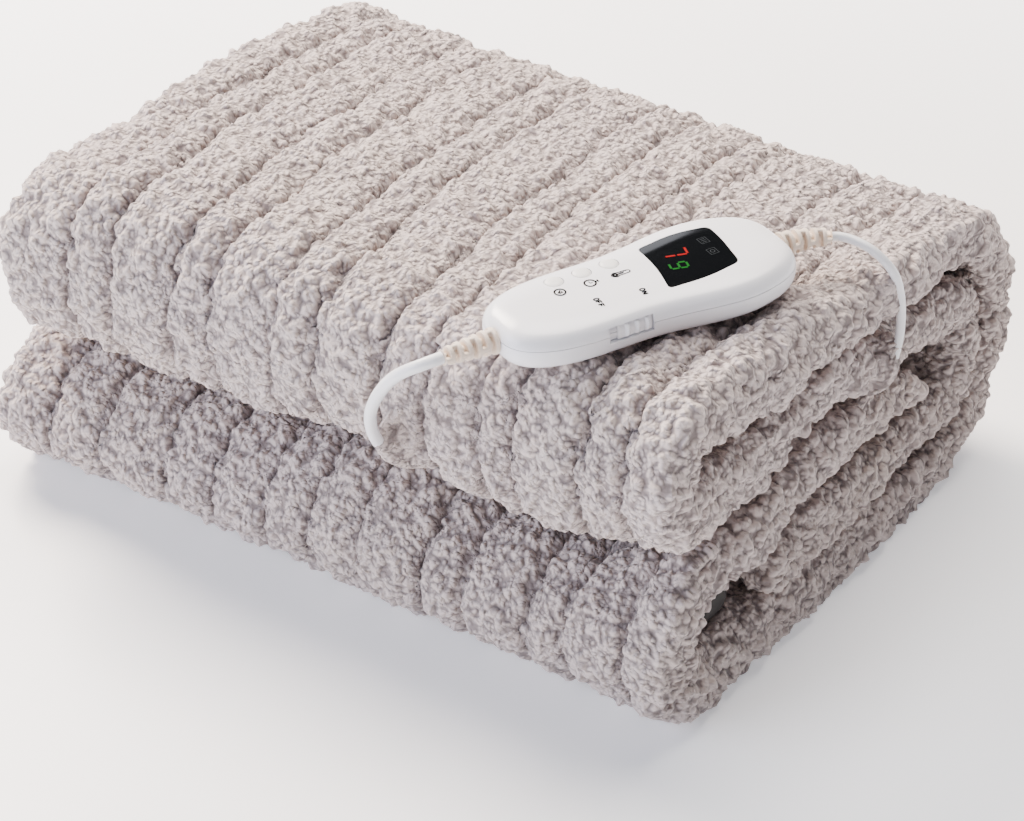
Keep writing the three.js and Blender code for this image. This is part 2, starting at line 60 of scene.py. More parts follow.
class Body(Enum):
    """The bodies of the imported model."""

    SET = "blanket_set"
    SLIDE = "slide_body"
    POWER_KEY = "power_key_body"
    TIMER_KEY = "timer_key_body"
    HEAT_KEY = "heat_key_body"


class Slot(Enum):
    """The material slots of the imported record."""

    FLEECE = "fleece"
    ABS = "white_abs"
    BUTTON = "button_abs"
    WINDOW = "black_window"
    RUBBER = "cream_rubber"
    PVC = "white_pvc"
    GREY = "grey_plastic"
    PIN = "pin_metal"


# ---------------------------------------------------------------- shared helpers


def linear(colour: str) -> tuple[float, ...]:
    """Turns an sRGB colour as "#rrggbb" into linear red, green and blue, with an alpha of 1."""
    shares = [int(colour[i : i + 2], 16) / 255 for i in (1, 3, 5)]
    return (*(s / 12.92 if s <= 0.04045 else ((s + 0.055) / 1.055) ** 2.4 for s in shares), 1.0)


def add_node(tree: Tree, kind: str, inputs: dict | None = None, **settings) -> bpy.types.Node:
    """Adds one node with its settings and links.

    Args:
        tree: The node tree.
        kind: The node's type name.
        inputs: Values, or output sockets to link, by the input's name or number.
        settings: The node's own properties.

    Returns:
        The node.
    """
    node = tree.nodes.new(kind)
    for name, value in settings.items():
        setattr(node, name, value)
    for name, value in (inputs or {}).items():
        if isinstance(value, Socket):
            tree.links.new(value, node.inputs[name])
        else:
            node.inputs[name].default_value = value
    return node


def blank_material(name: str) -> tuple[bpy.types.Material, Tree]:
    """Makes a material of that name and gives it with its node tree, which is empty."""
    material = bpy.data.materials.new(name)
    material.use_nodes = True
    material.node_tree.nodes.clear()
    return material, material.node_tree


def eased(value: np.ndarray, low: float, high: float) -> np.ndarray:
    """Rises from 0 at low to 1 at high, with level ends."""
    t = np.clip((value - low) / (high - low), 0.0, 1.0)
    return t * t * (3.0 - 2.0 * t)


def eased_rows(rows: tuple[Pair, ...], at: np.ndarray) -> np.ndarray:
    """Follows rows of place and value, in rising order of place, eased from each to the next."""
    found = np.full(np.shape(at), rows[0][1], float)
    for (low, before), (high, after) in zip(rows, rows[1:]):
        found = found + (after - before) * eased(at, low, high)
    return found


def catmull_rom(points: np.ndarray, step: float) -> np.ndarray:
    """Draws a centripetal curve through points.

    Args:
        points: The points, one to a row.
        step: The spacing of the result.

    Returns:
        Points along the curve, the first and last of those given among them.
    """
    ends = np.vstack([2 * points[0] - points[1], points, 2 * points[-1] - points[-2]])
    drawn = []
    for a, b, c, d in zip(ends, ends[1:], ends[2:], ends[3:]):
        gaps = [max(math.sqrt(np.linalg.norm(q - p)), 1e-6) for p, q in ((a, b), (b, c), (c, d))]
        t0, t1, t2, t3 = np.cumsum([0.0, *gaps])
        count = max(1, round(float(np.linalg.norm(c - b)) / step))
        t = np.linspace(t1, t2, count, endpoint=False)[:, None]
        ab = ((t1 - t) * a + (t - t0) * b) / (t1 - t0)
        bc = ((t2 - t) * b + (t - t1) * c) / (t2 - t1)
        cd = ((t3 - t) * c + (t - t2) * d) / (t3 - t2)
        abc = ((t2 - t) * ab + (t - t0) * bc) / (t2 - t0)
        bcd = ((t3 - t) * bc + (t - t1) * cd) / (t3 - t1)
        drawn.append(((t2 - t) * abc + (t - t1) * bcd) / (t2 - t1))
    return np.vstack([*drawn, points[-1]])


def loft(rings: np.ndarray) -> tuple[np.ndarray, list[tuple[int, ...]]]:
    """Closes a skin over rings of points. Point k of a ring lies across from point n - 1 - k.

    Args:
        rings: An array of ring, point and coordinate.

    Returns:
        The vertices, and the faces by vertex number.
    """
    count, n = rings.shape[:2]
    start = np.arange(count - 1)[:, None] * n
    here = np.arange(n)[None, :]
    a, b = start + here, start + (here + 1) % n
    faces = np.stack([a, a + n, b + n, b], axis=-1).reshape(-1, 4).tolist()
    last = (count - 1) * n
    for k in range(n // 2 - 1):
        rung = (k, k + 1, n - 2 - k, n - 1 - k)
        faces.append(rung)
        faces.append(tuple(last + i for i in reversed(rung)))
    return rings.reshape(-1, 3), faces


def ring_angles(count: int) -> np.ndarray:
    """The angles of an even number of points round a ring, half a step away from its axes."""
    return (np.arange(count) + 0.5) / count * 2 * math.pi


def squared(share: np.ndarray, power: float | np.ndarray) -> np.ndarray:
    """Squares off a round section: a power of its cosine or sine, with the sign kept."""
    return np.sign(share) * np.abs(share) ** power


def add_object(name: str, data: bpy.types.ID) -> Piece:
    """Adds an object with its data to the scene."""
    made = bpy.data.objects.new(name, data)
    bpy.context.scene.collection.objects.link(made)
    return made


def smoothed(mesh: bpy.types.Mesh, sharp: float) -> None:
    """Shades a mesh smooth, except at edges past an angle in degrees, where that is under 180."""
    mesh.shade_smooth()
    if sharp < 180.0:
        mesh.set_sharp_from_angle(angle=math.radians(sharp))


def read_vectors(items: bpy.types.bpy_prop_collection, name: str) -> np.ndarray:
    """Reads one vector of each item, one item to a row."""
    values = np.zeros(len(items) * 3, np.float32)
    items.foreach_get(name, values)
    return values.reshape(-1, 3)


def move_vertices(mesh: bpy.types.Mesh, places: np.ndarray) -> None:
    """Moves a mesh's vertices to new places."""
    mesh.vertices.foreach_set("co", places.astype(np.float32).ravel())
    mesh.update()


def add_layer(mesh: bpy.types.Mesh, name: str, kind: str, values: np.ndarray, domain: str = "POINT") -> None:
    """Writes values on a mesh as a new attribute.

    Args:
        mesh: The mesh.
        name: The attribute's name.
        kind: FLOAT, INT or FLOAT_VECTOR.
        values: One value or vector for each element.
        domain: The kind of element.
    """
    layer = mesh.attributes.new(name, kind, domain)
    numbers = values.ravel().astype(np.int32 if kind == "INT" else np.float32)
    layer.data.foreach_set("vector" if kind == "FLOAT_VECTOR" else "value", numbers)


def make_mesh(
    name: str, vertices: np.ndarray, faces: list, material: bpy.types.Material, sharp: float = 180.0
) -> Piece:
    """Makes an object whose place is in its mesh.

    Args:
        name: The piece's name.
        vertices: The vertices in millimetres.
        faces: The faces by vertex number.
        material: The finish.
        sharp: The angle in degrees past which an edge is drawn sharp.

    Returns:
        The linked object.
    """
    mesh = bpy.data.meshes.new(name)
    mesh.from_pydata((np.asarray(vertices) * MM).tolist(), [], faces)
    mesh.materials.append(material)
    smoothed(mesh, sharp)
    return add_object(name, mesh)


def applied(made: Piece, sharp: float = 180.0) -> Piece:
    """Turns an object with its modifiers into a plain mesh object.

    Args:
        made: The object, which is removed.
        sharp: The angle in degrees past which an edge is drawn sharp.

    Returns:
        The plain object of the same name.
    """
    bpy.context.view_layer.update()
    evaluated = made.evaluated_get(bpy.context.evaluated_depsgraph_get())
    mesh = bpy.data.meshes.new_from_object(evaluated)
    name = made.name
    bpy.data.objects.remove(made)
    mesh.name = name
    smoothed(mesh, sharp)
    return add_object(name, mesh)


def cut(made: Piece, others: list[tuple[str, Piece]], sharp: float) -> Piece:
    """Cuts or joins an object with others, which are removed.

    Args:
        made: The object to work on.
        others: Pairs of operation (DIFFERENCE, INTERSECT or UNION) and object.
        sharp: The angle in degrees past which an edge is drawn sharp.

    Returns:
        The plain result.
    """
    for operation, other in others:
        modifier = made.modifiers.new(operation.lower(), "BOOLEAN")
        modifier.solver = "MANIFOLD"
        modifier.operation = operation
        modifier.object = other
    plain = applied(made, sharp)
    for _, other in others:
        bpy.data.objects.remove(other)
    return plain


def register(made: Piece, body: Body, slot: Slot, *nodes: str) -> Piece:
    """Hands a finished piece to the frame.

    Args:
        made: The piece.
        body: The body it rides on.
        slot: The material slot of the record; not used.
        nodes: The CAD nodes it stands for.

    Returns:
        The same piece.
    """
    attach(made, body.value)
    if nodes:
        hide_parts(*nodes)
    if made.type == "MESH":
        made.data.calc_loop_triangles()
        LOG.info("%s: %d triangles", made.name, len(made.data.loop_triangles))
    return made


# ---------------------------------------------------------------- finishes


@dataclass(frozen=True)
class Finish:
    """A finish, which is one material for all the pieces that have it."""

    name: str

    def surface(self, tree: Tree) -> Socket:
        """Adds the finish's own nodes.

        Args:
            tree: The material's node tree.

        Returns:
            The output of its shader.
        """
        raise NotImplementedError

    def material(self) -> bpy.types.Material:
        """Makes the material, or finds it."""
        found = bpy.data.materials.get(self.name)
        if found:
            return found
        material, tree = blank_material(self.name)
        add_node(tree, "ShaderNodeOutputMaterial", {"Surface": self.surface(tree)})
        return material


@dataclass(frozen=True)
class SherpaFleece(Finish):
    """Polyester sherpa fleece, knitted and then tumbled until its pile curls into soft nubs.

    The nubs are matt with a faint halo of loose fibre. The low places between them, and the rib crevices, are
    darkened with a warm painted shade.
    """

    name: str = "sherpa_fleece"
    tip: str = "#cdbfbe"
    tip_warm: str = "#d1c2ba"
    # gap is a painted shade: the colour that the low places between the nubs are darkened to.
    gap: str = "#857a79"
    # crevice is a darker painted shade, laid over the rib crevices by the crease mask.
    crevice: str = "#6f6668"
    nub_mm: float = 4.3
    curl_mm: float = 2.3
    dome_edge: float = 0.85
    sway_mm: float = 8.5
    sway_reach_mm: float = 1.9
    fibre_mm: float = 0.9
    drift_mm: float = 90.0
    tone_spread: float = 0.12
    curl_share: float = 0.45
    # The painted gap shade fades out as the nub depth goes from gap_from to gap_to; gap_least keeps a little
    # of the nub's own colour in the deepest of it.
    gap_from: float = 0.12
    gap_to: float = 0.62
    gap_least: float = 0.05
    bumps_mm: tuple[Pair, ...] = ((0.8, 1.7), (1.0, 1.1), (0.5, 0.4))

    def nubs(self, tree: Tree, place: Socket, size: float | Socket) -> tuple[Socket, Socket]:
        """Adds the nodes that bunch the pile into domed nubs, for the meshes and the finish alike.

        Args:
            tree: The node tree.
            place: Where on the cloth.
            size: Nubs to a metre.

        Returns:
            The height on the nub from 0 to 1, and the nub's own value.
        """
        sway = add_node(
            tree, "ShaderNodeTexNoise", {"Vector": place, "Scale": 1 / (self.sway_mm * MM), "Detail": 1.0}
        )
        reach = (self.sway_reach_mm * MM,) * 3
        bent = add_node(
            tree, "ShaderNodeVectorMath", {0: sway.outputs["Color"], 1: reach, 2: place},
            operation="MULTIPLY_ADD"
        ).outputs[0]
        cell = add_node(tree, "ShaderNodeTexVoronoi", {"Vector": bent, "Scale": size}, feature="F1")
        dome = add_node(
            tree, "ShaderNodeMapRange",
            {"Value": cell.outputs["Distance"], "From Max": self.dome_edge, "To Min": 1.0, "To Max": 0.0},
            interpolation_type="SMOOTHSTEP"
        )
        return dome.outputs["Result"], cell.outputs["Color"]

    def surface(self, tree: Tree) -> Socket:
        """Adds the finish's own nodes and gives the output of its shader."""
        place = add_node(tree, "ShaderNodeAttribute", attribute_name="nap").outputs["Vector"]
        dome, own = self.nubs(tree, place, 1 / (self.nub_mm * MM))
        # Slow drifts from cool to warm white, and each nub a little lighter or darker than the next.
        drift = add_node(
            tree, "ShaderNodeTexNoise", {"Vector": place, "Scale": 1 / (self.drift_mm * MM), "Detail": 1.0}
        )
        warm = add_node(
            tree, "ShaderNodeMix", {0: drift.outputs["Fac"], 6: linear(self.tip), 7: linear(self.tip_warm)},
            data_type="RGBA"
        )
        value = add_node(
            tree, "ShaderNodeMapRange",
            {"Value": own, "To Min": 1 - self.tone_spread / 2, "To Max": 1 + self.tone_spread / 2}
        )
        toned = add_node(
            tree, "ShaderNodeHueSaturation", {"Color": warm.outputs[2], "Value": value.outputs["Result"]}
        )
        # Small curls fold each nub. The low places between them are darkened to the gap colour, a painted
        # shade, and the rib crevices to a darker painted shade.
        curl, _ = self.nubs(tree, place, 1 / (self.curl_mm * MM))
        folded = {0: curl, 1: self.curl_share, 2: dome}
        depth = add_node(tree, "ShaderNodeMath", folded, operation="MULTIPLY_ADD")
        rise = add_node(
            tree, "ShaderNodeMapRange",
            {
                "Value": depth.outputs[0], "From Min": self.gap_from, "From Max": self.gap_to,
                "To Min": self.gap_least
            }, interpolation_type="SMOOTHSTEP"
        )
        gaps = add_node(
            tree, "ShaderNodeMix",
            {0: rise.outputs["Result"], 6: linear(self.gap), 7: toned.outputs["Color"]}, data_type="RGBA"
        )
        # The crease mask from the pile's tree darkens the rib crevices to the crevice colour, a painted
        # shade.
        crease = add_node(tree, "ShaderNodeAttribute", attribute_name="crease")
        shade = add_node(
            tree, "ShaderNodeMix", {0: crease.outputs["Fac"], 6: gaps.outputs[2], 7: linear(self.crevice)},
            data_type="RGBA"
        )
        fibre = add_node(
            tree, "ShaderNodeTexNoise",
            {"Vector": place, "Scale": 1 / (self.fibre_mm * MM), "Detail": 2.0, "Roughness": 0.7}
        )
        # The nubs' domes, the curls on them and the fuzz of single fibres, each bent over the last.
        normal: dict[str, Socket] = {}
        for height, (strength, depth) in zip((dome, curl, fibre.outputs["Fac"]), self.bumps_mm):
            inputs = {"Strength": strength, "Distance": depth * MM, "Height": height, **normal}
            normal = {"Normal": add_node(tree, "ShaderNodeBump", inputs).outputs["Normal"]}
        shader = add_node(
            tree, "ShaderNodeBsdfPrincipled",
            {
                "Base Color": shade.outputs[2], "Roughness": 0.95, "IOR": 1.45, "Specular IOR Level": 0.15,
                "Sheen Weight": 0.35, "Sheen Roughness": 0.55, "Sheen Tint": linear("#f4eeea"), **normal
            }
        )
        return shader.outputs["BSDF"]


@dataclass(frozen=True)
class MouldedPlastic(Finish):
    """Injection-moulded plastic: an even colour, a soft gloss and the faint waves of the mould."""

    colour: str
    roughness: float
    ior: float = 1.53
    roughness_spread: float = 0.06
    wave_mm: float = 14.0
    grain_mm: float = 0.6
    grain_depth: float = 0.004
    subsurface: float = 0.0
    mottle: float = 0.02
    specular: float = 0.5

    def surface(self, tree: Tree) -> Socket:
        """Adds the finish's own nodes and gives the output of its shader."""
        place = add_node(tree, "ShaderNodeTexCoord").outputs["Object"]
        wave, grain = (
            add_node(tree, "ShaderNodeTexNoise", {"Vector": place, "Scale": 1 / (size * MM), "Detail": 2.0})
            for size in (self.wave_mm, self.grain_mm)
        )
        rough = add_node(
            tree, "ShaderNodeMapRange",
            {
                "Value": wave.outputs["Fac"], "To Min": self.roughness - self.roughness_spread / 2,
                "To Max": self.roughness + self.roughness_spread / 2
            }
        )
        value = add_node(
            tree, "ShaderNodeMapRange",
            {"Value": wave.outputs["Fac"], "To Min": 1 - self.mottle, "To Max": 1.0}
        )
        shade = add_node(
            tree, "ShaderNodeHueSaturation", {"Color": linear(self.colour), "Value": value.outputs["Result"]}
        )
        bump = add_node(
            tree, "ShaderNodeBump",
            {"Strength": 0.5, "Distance": self.grain_depth * MM, "Height": grain.outputs["Fac"]}
        )
        shader = add_node(
            tree, "ShaderNodeBsdfPrincipled",
            {
                "Base Color": shade.outputs["Color"], "Roughness": rough.outputs["Result"], "IOR": self.ior,
                "Specular IOR Level": self.specular, "Subsurface Weight": self.subsurface,
                "Subsurface Radius": (1.0, 0.95, 0.9), "Subsurface Scale": 2.0 * MM,
                "Normal": bump.outputs["Normal"]
            }
        )
        return shader.outputs["BSDF"]


@dataclass(frozen=True)
class LitSegment(Finish):
    """A display mark that glows behind the dark window: a lit segment's coloured light, or the faint painted
    glow of an unlit icon.
    """

    colour: str
    strength: float

    def surface(self, tree: Tree) -> Socket:
        """Adds the finish's own nodes and gives the output of its shader."""
        shader = add_node(
            tree, "ShaderNodeBsdfPrincipled",
            {
                "Base Color": linear("#101010"), "Roughness": 0.15, "Emission Color": linear(self.colour),
                "Emission Strength": self.strength
            }
        )
        return shader.outputs["BSDF"]


@dataclass(frozen=True)
class PlatedPin(Finish):
    """Nickel-plated brass, turned and tumbled: bright, with fine rings around the pin."""

    name: str = "nickel_plated_brass"
    colour: str = "#cfcac0"
    ring_mm: float = 0.25

    def surface(self, tree: Tree) -> Socket:
        """Adds the finish's own nodes and gives the output of its shader."""
        place = add_node(tree, "ShaderNodeTexCoord").outputs["Object"]
        stretch = add_node(
            tree, "ShaderNodeMapping", {"Vector": place, "Scale": (1 / (self.ring_mm * MM), 20.0, 20.0)}
        )
        rings = add_node(tree, "ShaderNodeTexNoise", {"Vector": stretch.outputs["Vector"], "Scale": 1.0})
        rough = add_node(
            tree, "ShaderNodeMapRange", {"Value": rings.outputs["Fac"], "To Min": 0.18, "To Max": 0.34}
        )
        bump = add_node(
            tree, "ShaderNodeBump", {"Strength": 0.3, "Distance": 0.01 * MM, "Height": rings.outputs["Fac"]}
        )
        shader = add_node(
            tree, "ShaderNodeBsdfPrincipled",
            {
                "Base Color": linear(self.colour), "Metallic": 1.0, "Roughness": rough.outputs["Result"],
                "Normal": bump.outputs["Normal"]
            }
        )
        return shader.outputs["BSDF"]


FLEECE = SherpaFleece()
SHELL_ABS = MouldedPlastic("glossy_white_abs", "#f5f5fa", 0.24)
KEY_SILICONE = MouldedPlastic("milky_key_cap", "#eeedeb", 0.38, ior=1.43, subsurface=0.3)
WINDOW_ACRYLIC = MouldedPlastic(
    "smoked_acrylic", "#040506", 0.1, ior=1.49, roughness_spread=0.02, specular=0.4
)
RELIEF_RUBBER = MouldedPlastic(
    "cream_relief_rubber", "#ead9c8", 0.5, ior=1.5, grain_mm=0.8, grain_depth=0.02, subsurface=0.15,
    mottle=0.06
)
CORD_PVC = MouldedPlastic("white_cord_pvc", "#f1f1f4", 0.36, ior=1.53, grain_mm=1.2, grain_depth=0.03)
# The connector and its sleeve are coloured near black, a painted shade for the dark fold they lie in, far
# darker than their grey plastic.
SHADED_CONNECTOR_NYLON = MouldedPlastic(
    "connector_nylon_painted_shade", "#26211e", 0.65, grain_mm=0.5, grain_depth=0.03, mottle=0.08
)
PRINT_INK = MouldedPlastic("dark_pad_print", "#0b0b0e", 0.8, mottle=0.2, specular=0.08)
RED_SEGMENT = LitSegment("red_display_segment", "#f0180f", 1.0)
GREEN_SEGMENT = LitSegment("green_display_segment", "#159a22", 0.8)
# The unlit icons glow faintly grey, a painted glow that makes them show through the dark window.
ICON_PAINTED_GLOW = LitSegment("unlit_icon_painted_glow", "#8f9396", 0.35)
PIN_PLATING = PlatedPin()


# ---------------------------------------------------------------- studio


@dataclass
class Studio:
    """A pale floor, soft lights and the camera, at the angle the blanket is shown from."""

    camera_at: Triple = (814.0, -1165.5, 1008.0)
    azimuth: float = 34.8
    pitch: float = 34.7
    lens: float = 114.57
    sensor: float = 36.0
    floor_half: float = 6000.0
    floor_colour: str = "#fbfbfc"
    floor_glow: Pair = (0.4, 1.9)
    glow_from: Pair = (0.36, 1.0)
    sky: float = 0.13
    aim: Triple = (0.0, 0.0, 80.0)

    def add_camera(self) -> None:
        """Adds the scene's camera."""
        turn, down = math.radians(self.azimuth), math.radians(self.pitch)
        forward = Vector((-math.sin(turn) * math.cos(down), math.cos(turn) * math.cos(down), -math.sin(down)))
        data = bpy.data.cameras.new("camera")
        data.lens = self.lens
        data.sensor_width = self.sensor
        data.sensor_fit = "HORIZONTAL"
        data.clip_start, data.clip_end = 0.05, 50.0
        camera = add_object("camera", data)
        camera.location = Vector(self.camera_at) * MM
        camera.rotation_euler = forward.to_track_quat("-Z", "Y").to_euler()
        bpy.context.scene.camera = camera

    def add_light(self, name: str, at: Triple, size: float, power: float, colour: str) -> None:
        """Adds a square softbox aimed at the blanket.

        Args:
            name: The light's name.
            at: Its place in millimetres.
            size: Its side in metres.
            power: Its power in watts.
            colour: Its colour.
        """
        data = bpy.data.lights.new(name, "AREA")
        data.shape, data.size = "SQUARE", size
        data.energy, data.color = power, linear(colour)[:3]
        lamp = add_object(name, data)
        lamp.location = Vector(at) * MM
        lamp.rotation_euler = (Vector(self.aim) * MM - lamp.location).to_track_quat("-Z", "Y").to_euler()

    def build(self) -> None:
        """Adds the camera, floor, sky and lights."""
        self.add_camera()
        # A pale floor that is lit from below away from the blanket, as a light table is.
        material, tree = blank_material("studio_floor")
        place = add_node(tree, "ShaderNodeTexCoord").outputs["Object"]
        away = add_node(tree, "ShaderNodeVectorMath", {0: place}, operation="LENGTH").outputs["Value"]
        glow = add_node(
            tree, "ShaderNodeMapRange",
            {
                "Value": away, "From Min": self.glow_from[0], "From Max": self.glow_from[1],
                "To Min": self.floor_glow[0], "To Max": self.floor_glow[1]
            }, interpolation_type="SMOOTHSTEP"
        )
        shader = add_node(
            tree, "ShaderNodeBsdfPrincipled",
            {
                "Base Color": linear(self.floor_colour), "Roughness": 0.3, "IOR": 1.4,
                "Emission Color": linear("#f6f8ff"), "Emission Strength": glow.outputs["Result"]
            }
        )
        add_node(tree, "ShaderNodeOutputMaterial", {"Surface": shader.outputs["BSDF"]})
        half = self.floor_half
        corners = [(-half, -half, 0), (half, -half, 0), (half, half, 0), (-half, half, 0)]
        make_mesh("floor", np.array(corners, float), [(0, 1, 2, 3)], material)
        world = bpy.data.worlds.new("sky")
        world.use_nodes = True
        world.node_tree.nodes.clear()
        light = add_node(
            world.node_tree, "ShaderNodeBackground", {"Color": linear("#f0f3ff"), "Strength": self.sky}
        )
        add_node(world.node_tree, "ShaderNodeOutputWorld", {"Surface": light.outputs["Background"]})
        bpy.context.scene.world = world
        for light in (
            ("key_softbox", (-1500, 500, 1500), 0.9, 150.0, "#ffeedd"),
            ("overhead_softbox", (-150, 950, 2600), 1.8, 118.0, "#fff8f2"),
            ("front_fill", (-1100, -1900, 900), 1.6, 66.0, "#e6ebff"),
            # A dim panel low behind the blanket, which the display window mirrors along its far edge.
            ("back_panel", (-1495, 1521, 947), 1.0, 9.0, "#f4f6ff"),
        ):
            self.add_light(*light)


# ---------------------------------------------------------------- leads


@dataclass
class Lead:
    """A round flexible lead that follows a route.

    Args:
        name: The piece's name.
        route: The points that it follows.
        diameter: Its diameter.
        nodes: The CAD nodes it stands for.
    """

    name: str
    route: np.ndarray
    diameter: float
    nodes: tuple[str, ...]
    step: float = 2.0

    def build(self) -> tuple[Piece, float]:
        """Makes the lead as one open curve.

        Returns:
            The piece, and its length in metres.
        """
        path = catmull_rom(self.route, self.step)
        length = float(np.linalg.norm(np.diff(path, axis=0), axis=1).sum()) * MM
        curve = bpy.data.curves.new(self.name, "CURVE")
        curve.dimensions = "3D"
        curve.bevel_depth = self.diameter / 2 * MM
        curve.bevel_resolution = 3
        curve.use_fill_caps = True
        spline = curve.splines.new("POLY")
        spline.points.add(len(path) - 1)
        spline.points.foreach_set("co", np.hstack([path * MM, np.ones((len(path), 1))]).ravel())
        spline.use_smooth = True
        curve.materials.append(CORD_PVC.material())
        made = add_object(self.name, curve)
        register(made, Body.SET, Slot.PVC, *self.nodes)
        LOG.info("%s: %.3f m long", self.name, length)
        return made, length


def bar(name: str, rows: np.ndarray, at: Triple, sides: int, finish: Finish) -> Piece:
    """Lofts a rounded bar along X.

    Args:
        name: The piece's name.
        rows: Distance along, half width, half height, and how square the section is.
        at: The place that the rows are measured from.
        sides: The points round a section.
        finish: Its finish.

    Returns:
        The closed piece.
    """
    along, wide, tall, power = np.array(rows, float).T[:, :, None]
    angle = ring_angles(sides)
    y, z = squared(np.cos(angle), power) * wide, squared(np.sin(angle), power) * tall
    rings = np.stack([np.broadcast_to(at[0] + along, y.shape), at[1] + y, at[2] + z], axis=-1)
    return make_mesh(name, *loft(rings[::-1]), finish.material(), 50)


MAINS_ROUTE = (
    (93.8, -184.6, 194.5), (92.5, -187.4, 194.4), (87.4, -192.8, 192.2), (81.2, -195, 188.2),
    (75.4, -195.4, 183), (69.8, -194.4, 176.4), (64.4, -192.8, 168.6), (59.2, -190.4, 160),
    (54.8, -187.4, 151), (51.6, -183.8, 142), (49.8, -179.6, 132.6), (49.4, -173.8, 122.6),
    (49.8, -165.4, 112.6), (50.6, -154, 104.4), (51, -139, 99.6), (49, -120, 98.4), (40, -94, 99.6),
    (20, -66, 101), (-12, -46, 101.6), (-58, -29, 101.6), (-106, -14, 101.4), (-152, -1, 100.8),
    (-188, 8, 100.4), (-208, 15, 98.6), (-224, 25, 90), (-233, 37, 76), (-238, 51, 58), (-241, 67, 39),
    (-242, 86, 21), (-240, 108, 8.6), (-235, 130, 3.6), (-224, 151, 3.2), (-205, 169, 3.2), (-178, 180, 3.2),
    (-146, 185, 3.3), (-108, 186, 3.8), (-72, 186, 4.2)
)
TAIL_ROUTE = ((-28.4, 186.1, 10.2), (-16, 187.2, 9.4), (-2, 190, 8), (12, 192.8, 7.1), (26, 193.6, 7))
LEAD_ROUTE = (
    (185.45, 5.2, 194.5), (187.8, 7.1, 194.4), (192, 9.2, 193.8), (197.8, 10.4, 192.6), (203.6, 11.4, 190.6),
    (208.8, 12.4, 187.2), (212.8, 14, 182.6), (215.4, 16.2, 176.4), (216.6, 18.6, 168.4), (217.2, 20.4, 159),
    (217.2, 21.6, 149.6), (217, 21.4, 140.6), (216.6, 19.8, 132), (215.6, 17.8, 124), (212.4, 16, 116.4),
    (206, 15.2, 110.6), (196.6, 16, 107.6), (185, 19, 106), (173, 25.4, 103.6), (162, 35, 100.6),
    (152, 47, 98), (142, 59.6, 96), (132.6, 69.4, 90.6), (124, 73.8, 82), (115.6, 71, 73.2),
    (107.6, 62, 67.6), (99.6, 49, 65.8), (92, 32, 65.8), (87, 12, 66), (84.4, -10, 66), (83.6, -32, 66),
    (84.2, -53, 65.8), (87, -72, 64.4), (92.6, -87, 60), (101.4, -97.4, 53.8), (112.6, -102.4, 49.2),
    (124.4, -103.4, 47.5), (131.7, -103.5, 47.3)
)


